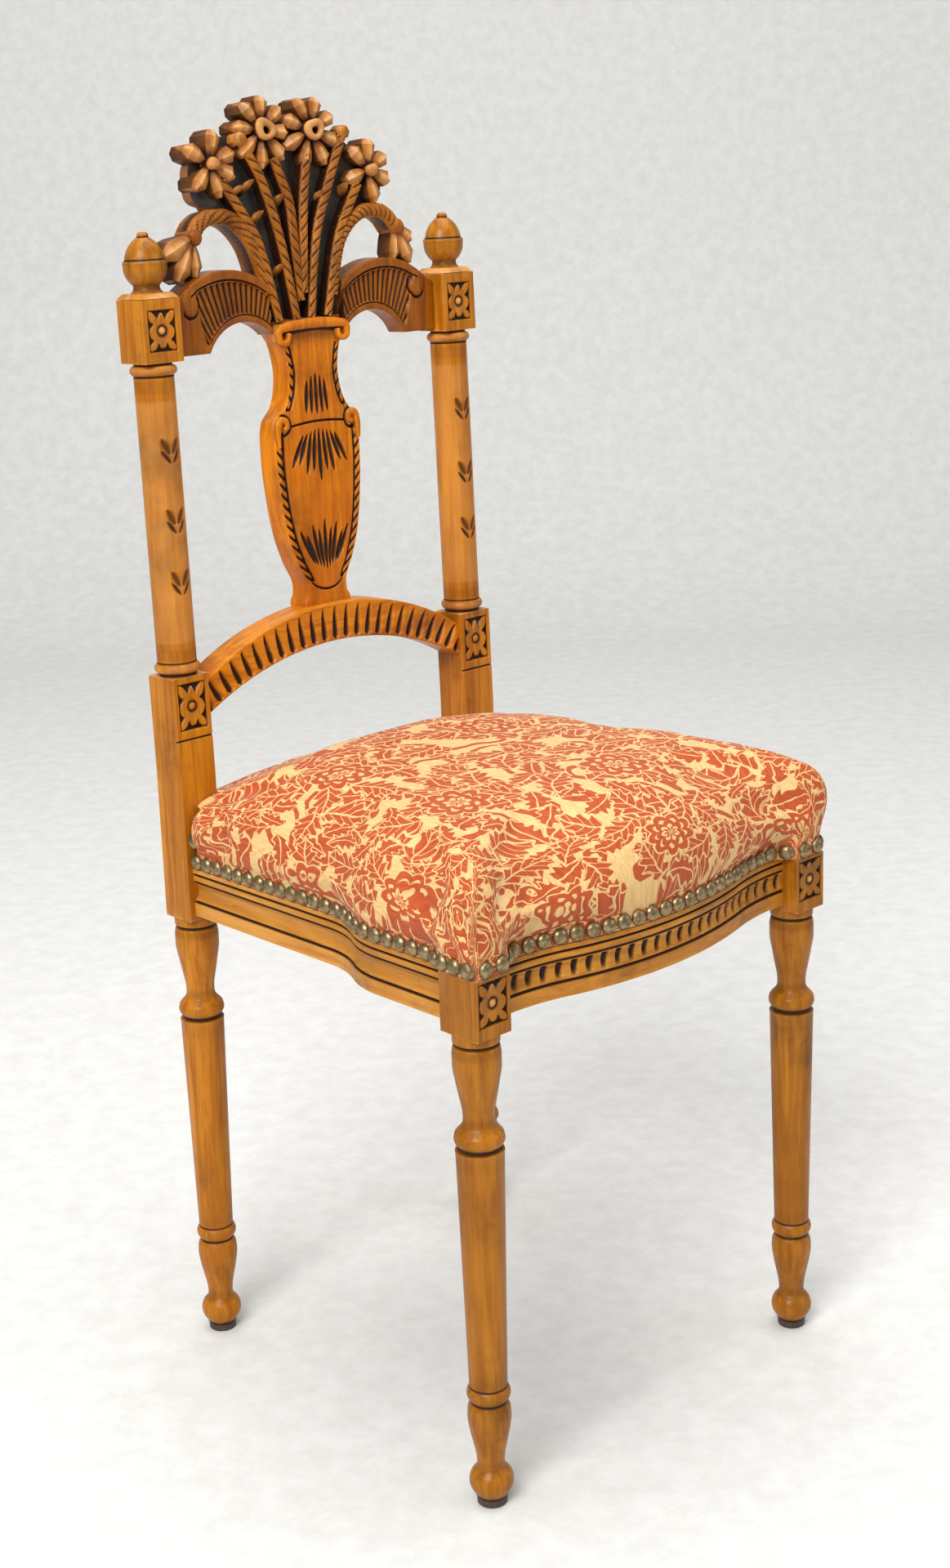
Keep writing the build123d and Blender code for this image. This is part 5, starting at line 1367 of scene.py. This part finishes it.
def settled(points):
    """Points of the pad with its stuffing settled: higher in front, falling to the rear and its corners."""
    x, y, z = np.abs(points[..., :1]), points[..., 1:2], points[..., 2:]
    stuffing = np.clip((z - stuffing_foot) / (pad_edge - stuffing_foot), 0, 1)
    ahead = np.clip((seat_middle_y - y) / (seat_middle_y - block_front_y), 0, 1)
    behind = np.clip((y - post_front_y + rear_slope) / rear_slope, 0, 1)
    gap = np.hypot(x - post_x - post_width / 2, y - post_front_y + corner_ahead)
    rise = front_rise * ahead - rear_fall * behind - corner_fall * np.clip(1 - gap / corner_reach, 0, 1)
    return points + stuffing * rise * (0, 0, 1)


def seat_patch(ring):
    """A grid of points across the seat, between the four edges of a ring, and its shares across and back."""
    front, right, rear, left = seat_ring(*ring)
    rear, left = rear[::-1], left[::-1]
    u, v = np.meshgrid(np.linspace(0, 1, pad_cells + 1), np.linspace(0, 1, pad_cells + 1))
    u, v = u[..., None], v[..., None]
    grid = (1 - v) * front[None] + v * rear[None] + (1 - u) * left[:, None] + u * right[:, None]
    corners = (1 - v) * ((1 - u) * front[0] + u * front[-1]) + v * ((1 - u) * rear[0] + u * rear[-1])
    return grid - corners, u, v


def pad_mesh():
    """The stuffed seat before it swells: a skirt over the lands, drawn-in sides and a crowned top."""
    made = Carving()
    rings = [np.vstack([edge[:-1] for edge in seat_ring(*ring)]) for ring in pad_rings]
    made.loft(settled(np.array(rings)), capped=False)
    made.loft(settled(seat_patch(pad_rings[0])[0]), closed=False, capped=False)
    top, u, v = seat_patch(pad_rings[-1])
    dome = ((1 - np.abs(2 * u - 1) ** 2.4) * (1 - np.abs(2 * v - 1) ** 2.4)) ** 0.7
    made.loft(settled(top + dome * (0, 0, pad_crown)), closed=False, capped=False)
    return mesh_of("seat_cover", made, 0.05)


def vertex_places(mesh):
    places = np.empty(3 * len(mesh.vertices))
    mesh.vertices.foreach_get("co", places)
    return places.reshape(-1, 3)


swell_frames = 20
swell_limit = 9.0
swell_settings = {"quality": 6, "mass": 0.25, "tension_stiffness": 25, "compression_stiffness": 25,
                  "bending_stiffness": 1.5, "use_pressure": True, "uniform_pressure_force": 4.0,
                  "vertex_group_mass": "held"}
held_below = 425.0
held_from, held_to = 428.0, 429.0
calm_start, calm_run, calm_share = 75.0, 65.0, 0.7


def swell(cover):
    """Blows the stuffed cover up as cloth, held below the nails and underneath, and keeps the result."""
    mesh = cover.data
    start = vertex_places(mesh)
    held = cover.vertex_groups.new(name="held")
    height = start[:, 2] / metre
    fixed = np.where((height < held_below) | (height > held_from) & (height < held_to))[0]
    held.add(fixed.tolist(), 1.0, "REPLACE")
    settings = cover.modifiers.new("cloth", "CLOTH").settings
    for name, value in swell_settings.items():
        setattr(settings, name, value)
    settings.effector_weights.gravity = 0.0
    scene = bpy.context.scene
    for number in range(1, swell_frames + 1):
        scene.frame_set(number)
    blown = vertex_places(cover.evaluated_get(bpy.context.evaluated_depsgraph_get()).data)
    cover.modifiers.clear()
    scene.frame_set(1)
    move = blown - start
    far = np.linalg.norm(move, axis=1, keepdims=True)
    near = np.clip((start[:, 1:2] / metre - post_front_y + calm_start) / calm_run, 0, 1)
    limit = swell_limit * metre * (1 - calm_share * near)
    move = move * np.minimum(1, limit / np.maximum(far, 1e-9))
    mesh.vertices.foreach_set("co", (start + move).ravel())
    mesh.update()


pleat_inset, pleat_reach, pleat_depth, pleat_half = 2.4, 26.0, 3.2, 1.7
pleat_top, pleat_fade = 452.0, 34.0
pull_depth, pull_reach, pull_fade = 0.9, 7.0, 11.0


def pleats(places):
    """How far the cover is drawn in at the pleats over the front corners."""
    corner = np.array([block_outer_x - pleat_inset, block_front_y + pleat_inset])
    depth = np.zeros(len(places))
    for side in (-1, 1):
        offset = places[:, :2] - corner * (side, 1)
        across = np.abs(offset @ np.array([side, 1]) / math.sqrt(2))
        near = np.linalg.norm(offset, axis=1) < pleat_reach
        fade = np.clip((pleat_top - places[:, 2]) / pleat_fade, 0, 1)
        depth += near * fade * pleat_depth * np.exp(-((across / pleat_half) ** 2))
    return depth


def nail_pull(places, nails):
    """How far the cover is drawn in between and under its nails."""
    spots = np.array([place for place, _ in nails])
    spots = np.vstack([spots, spots * (-1, 1)])
    gap = np.linalg.norm(places[:, None, :2] - spots[None], axis=2).min(axis=1)
    fade = np.exp(-(((places[:, 2] - nail_z) / pull_fade) ** 2))
    return pull_depth * fade * np.clip(1 - gap / pull_reach, 0, 1)


def clear_of_wood(places):
    """The cover's points drawn out of the rear posts, and lifted off the rails that run into them."""
    notch_x, notch_y = post_inner_x - post_clearance, post_front_y - post_clearance
    inside = np.clip(np.minimum(np.abs(places[:, 0]) - notch_x, places[:, 1] - notch_y), 0, None)
    places = places.copy()
    places[:, 0] -= np.sign(places[:, 0]) * inside
    places[:, 1] -= inside
    across, along = np.abs(places[:, 0]), places[:, 1]
    on_side = (along > notch_y - tuck_reach) & (across < side_rear_x - land_depth)
    on_rear = (across > notch_x - tuck_reach) & (along < seat_rear_y - land_depth)
    lifted = on_side & on_rear
    places[lifted, 2] = np.maximum(places[lifted, 2], underside)
    return places


def seat(nails):
    """The covered seat: stuffed, swollen, pleated at its front corners and drawn in at its nails."""
    cover = placed("seat_cover", pad_mesh())
    swell(cover)
    cover.modifiers.new("smooth", "SUBSURF").levels = 1
    cover.data = bpy.data.meshes.new_from_object(cover.evaluated_get(bpy.context.evaluated_depsgraph_get()))
    cover.modifiers.clear()
    mesh = cover.data
    mesh.name = "seat_cover"
    places = vertex_places(mesh) / metre
    normals = np.empty(3 * len(mesh.vertices))
    mesh.vertex_normals.foreach_get("vector", normals)
    normals = normals.reshape(-1, 3)
    outside = normals[:, 2] > -0.4
    draw = np.where(outside, pleats(places) + nail_pull(places, nails), 0)
    flat = normals * (1, 1, 0)
    places = clear_of_wood(places - flat * draw[:, None]) * metre
    mesh.vertices.foreach_set("co", places.ravel())
    unrolled = places * (1, 1, 0) + flat * np.clip(places[:, 2].max() - places[:, 2:], 0, None)
    mesh.attributes.new("cloth", "FLOAT_VECTOR", "POINT").data.foreach_set("vector", unrolled.ravel())
    smooth_faces(mesh)
    mesh.update()
    mesh.materials.append(brocade())
    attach(cover, "root")
    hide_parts("seat_pad")


# Build

pair("leg_front", front_leg(), leg_wood, "turned_wood", "front_leg")
pair("post_rear", rear_post(), column_wood, "turned_wood", "rear_post")
pair("acorn", finial(), leg_wood, "turned_wood", "finial")
piece("rail_front", front_rail(), rail_wood, "rail_wood", "front_rail")
pair("rail_side", side_rail(), sky_lit_side_rail_wood, "rail_wood", "side_rail")
piece("arch", arched_rail(), arch_wood, "carved_wood", "arched_rail")
piece("vase", vase(), back_wood, "carved_wood", "vase_splat")
pair("wing", wing(), shaded_crest_wood, "carved_wood", "crest_wing")
piece("bouquet_ground", ground(), dusty_ground(), "carved_wood", "bouquet")
piece("bouquet_flowers", flowers(), flower_wood, "carved_wood", crease=14.0)
piece("bouquet_stems", bouquet_stems(), stem_wood, "carved_wood", crease=50.0)
seat(nail_rows())

carried = {
    "rear_rail": rail_wood,
    "crest_dowels": inner_wood,
    "corner_screws": plain_steel(),
    "hessian": cloth("jute_cloth", (0.50, 0.38, 0.23), (0.22, 0.155, 0.085), 330.0),
    "dust_cover": cloth("black_cambric", (0.030, 0.029, 0.028), (0.010, 0.010, 0.010), 700.0),
}
jute = cloth("jute_webbing", (0.46, 0.34, 0.19), (0.20, 0.13, 0.07), 240.0)
glide = dark_plastic()
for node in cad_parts:
    if node.startswith("webbing"):
        carried[node] = jute
    elif "glide" in node:
        carried[node] = glide
    elif "corner_block" in node:
        carried[node] = inner_wood
for node, material in carried.items():
    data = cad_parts[node].data
    data.materials.clear()
    data.materials.append(material)


# Floor, light and camera


floor_near, floor_far, floor_half = -4.0, 2.6, 6.0
backdrop_bend, backdrop_top = 0.8, 4.5
sky_colour, sky_strength = (0.93, 0.96, 1.0, 1.0), 0.34
lamps = (("key", (-2.8, -1.35, 2.9), 2.0, 152), ("top", (0.2, 0.1, 3.2), 2.6, 66),
         ("fill", (2.2, -2.6, 1.8), 2.0, 17))
lamp_aim = Vector((0, 0, 0.55))


def stage_set():
    """A pale floor that curves up into a backdrop, lit by a soft sky and three large lamps."""
    paint = Paint("pale_floor")
    speck = paint.noise(paint.place, 40.0, 6.0, 0.7)
    floor_colour = paint.mix(paint.range(speck, 0.3, 0.7), (0.70, 0.69, 0.66), (0.78, 0.77, 0.74))
    paper = paint.finish(Base_Color=floor_colour, Roughness=0.85)
    outline = [(floor_near, 0.0), (floor_far, 0.0)]
    for turn in np.linspace(0.1, math.pi / 2, 12):
        outline.append((floor_far + backdrop_bend * math.sin(turn), backdrop_bend * (1 - math.cos(turn))))
    outline.append((floor_far + backdrop_bend, backdrop_top))
    points = [(side, along, height) for along, height in outline for side in (-floor_half, floor_half)]
    faces = [(2 * row, 2 * row + 1, 2 * row + 3, 2 * row + 2) for row in range(len(outline) - 1)]
    mesh = bpy.data.meshes.new("floor")
    mesh.from_pydata(points, [], faces)
    smooth_faces(mesh)
    mesh.materials.append(paper)
    floor = placed("floor", mesh)
    floor.rotation_euler = (0, 0, -camera_yaw)
    world = bpy.data.worlds.new("sky")
    world.use_nodes = True
    background = world.node_tree.nodes["Background"]
    background.inputs["Color"].default_value = sky_colour
    background.inputs["Strength"].default_value = sky_strength
    bpy.context.scene.world = world
    for name, place, size, power in lamps:
        lamp = bpy.data.lights.new(name, "AREA")
        lamp.size = size
        lamp.energy = power
        made = placed(name, lamp)
        made.location = place
        made.rotation_euler = (lamp_aim - Vector(place)).to_track_quat("-Z", "Y").to_euler()


# The camera stands where the photograph was taken from
camera_place = (-1.1678, -1.24315, 0.9646)
camera_yaw = math.radians(43.331)
camera_pitch = math.radians(14.055)
camera_roll = -0.0345
frame_height_px = 1919.0
focal_px = 2764.08
rise_px = 860.0
sensor = 36.0


def photo_camera():
    """The camera: its lens, its turn and the place of its axis in the frame."""
    level_run = math.cos(camera_pitch)
    ahead = Vector((math.sin(camera_yaw) * level_run, math.cos(camera_yaw) * level_run,
                    -math.sin(camera_pitch)))
    level = ahead.cross(Vector((0, 0, 1))).normalized()
    rise = level.cross(ahead)
    right = math.cos(camera_roll) * level + math.sin(camera_roll) * rise
    up = -math.sin(camera_roll) * level + math.cos(camera_roll) * rise
    lens = bpy.data.cameras.new("camera")
    lens.sensor_fit = "VERTICAL"
    lens.sensor_height = sensor
    lens.lens = focal_px / frame_height_px * sensor
    lens.shift_y = (rise_px - frame_height_px / 2) / frame_height_px
    made = placed("camera", lens)
    turn = Matrix((right, up, -ahead)).transposed().to_4x4()
    made.matrix_world = Matrix.Translation(camera_place) @ turn
    bpy.context.scene.camera = made


stage_set()
photo_camera()
bpy.context.scene.view_settings.view_transform = "Standard"
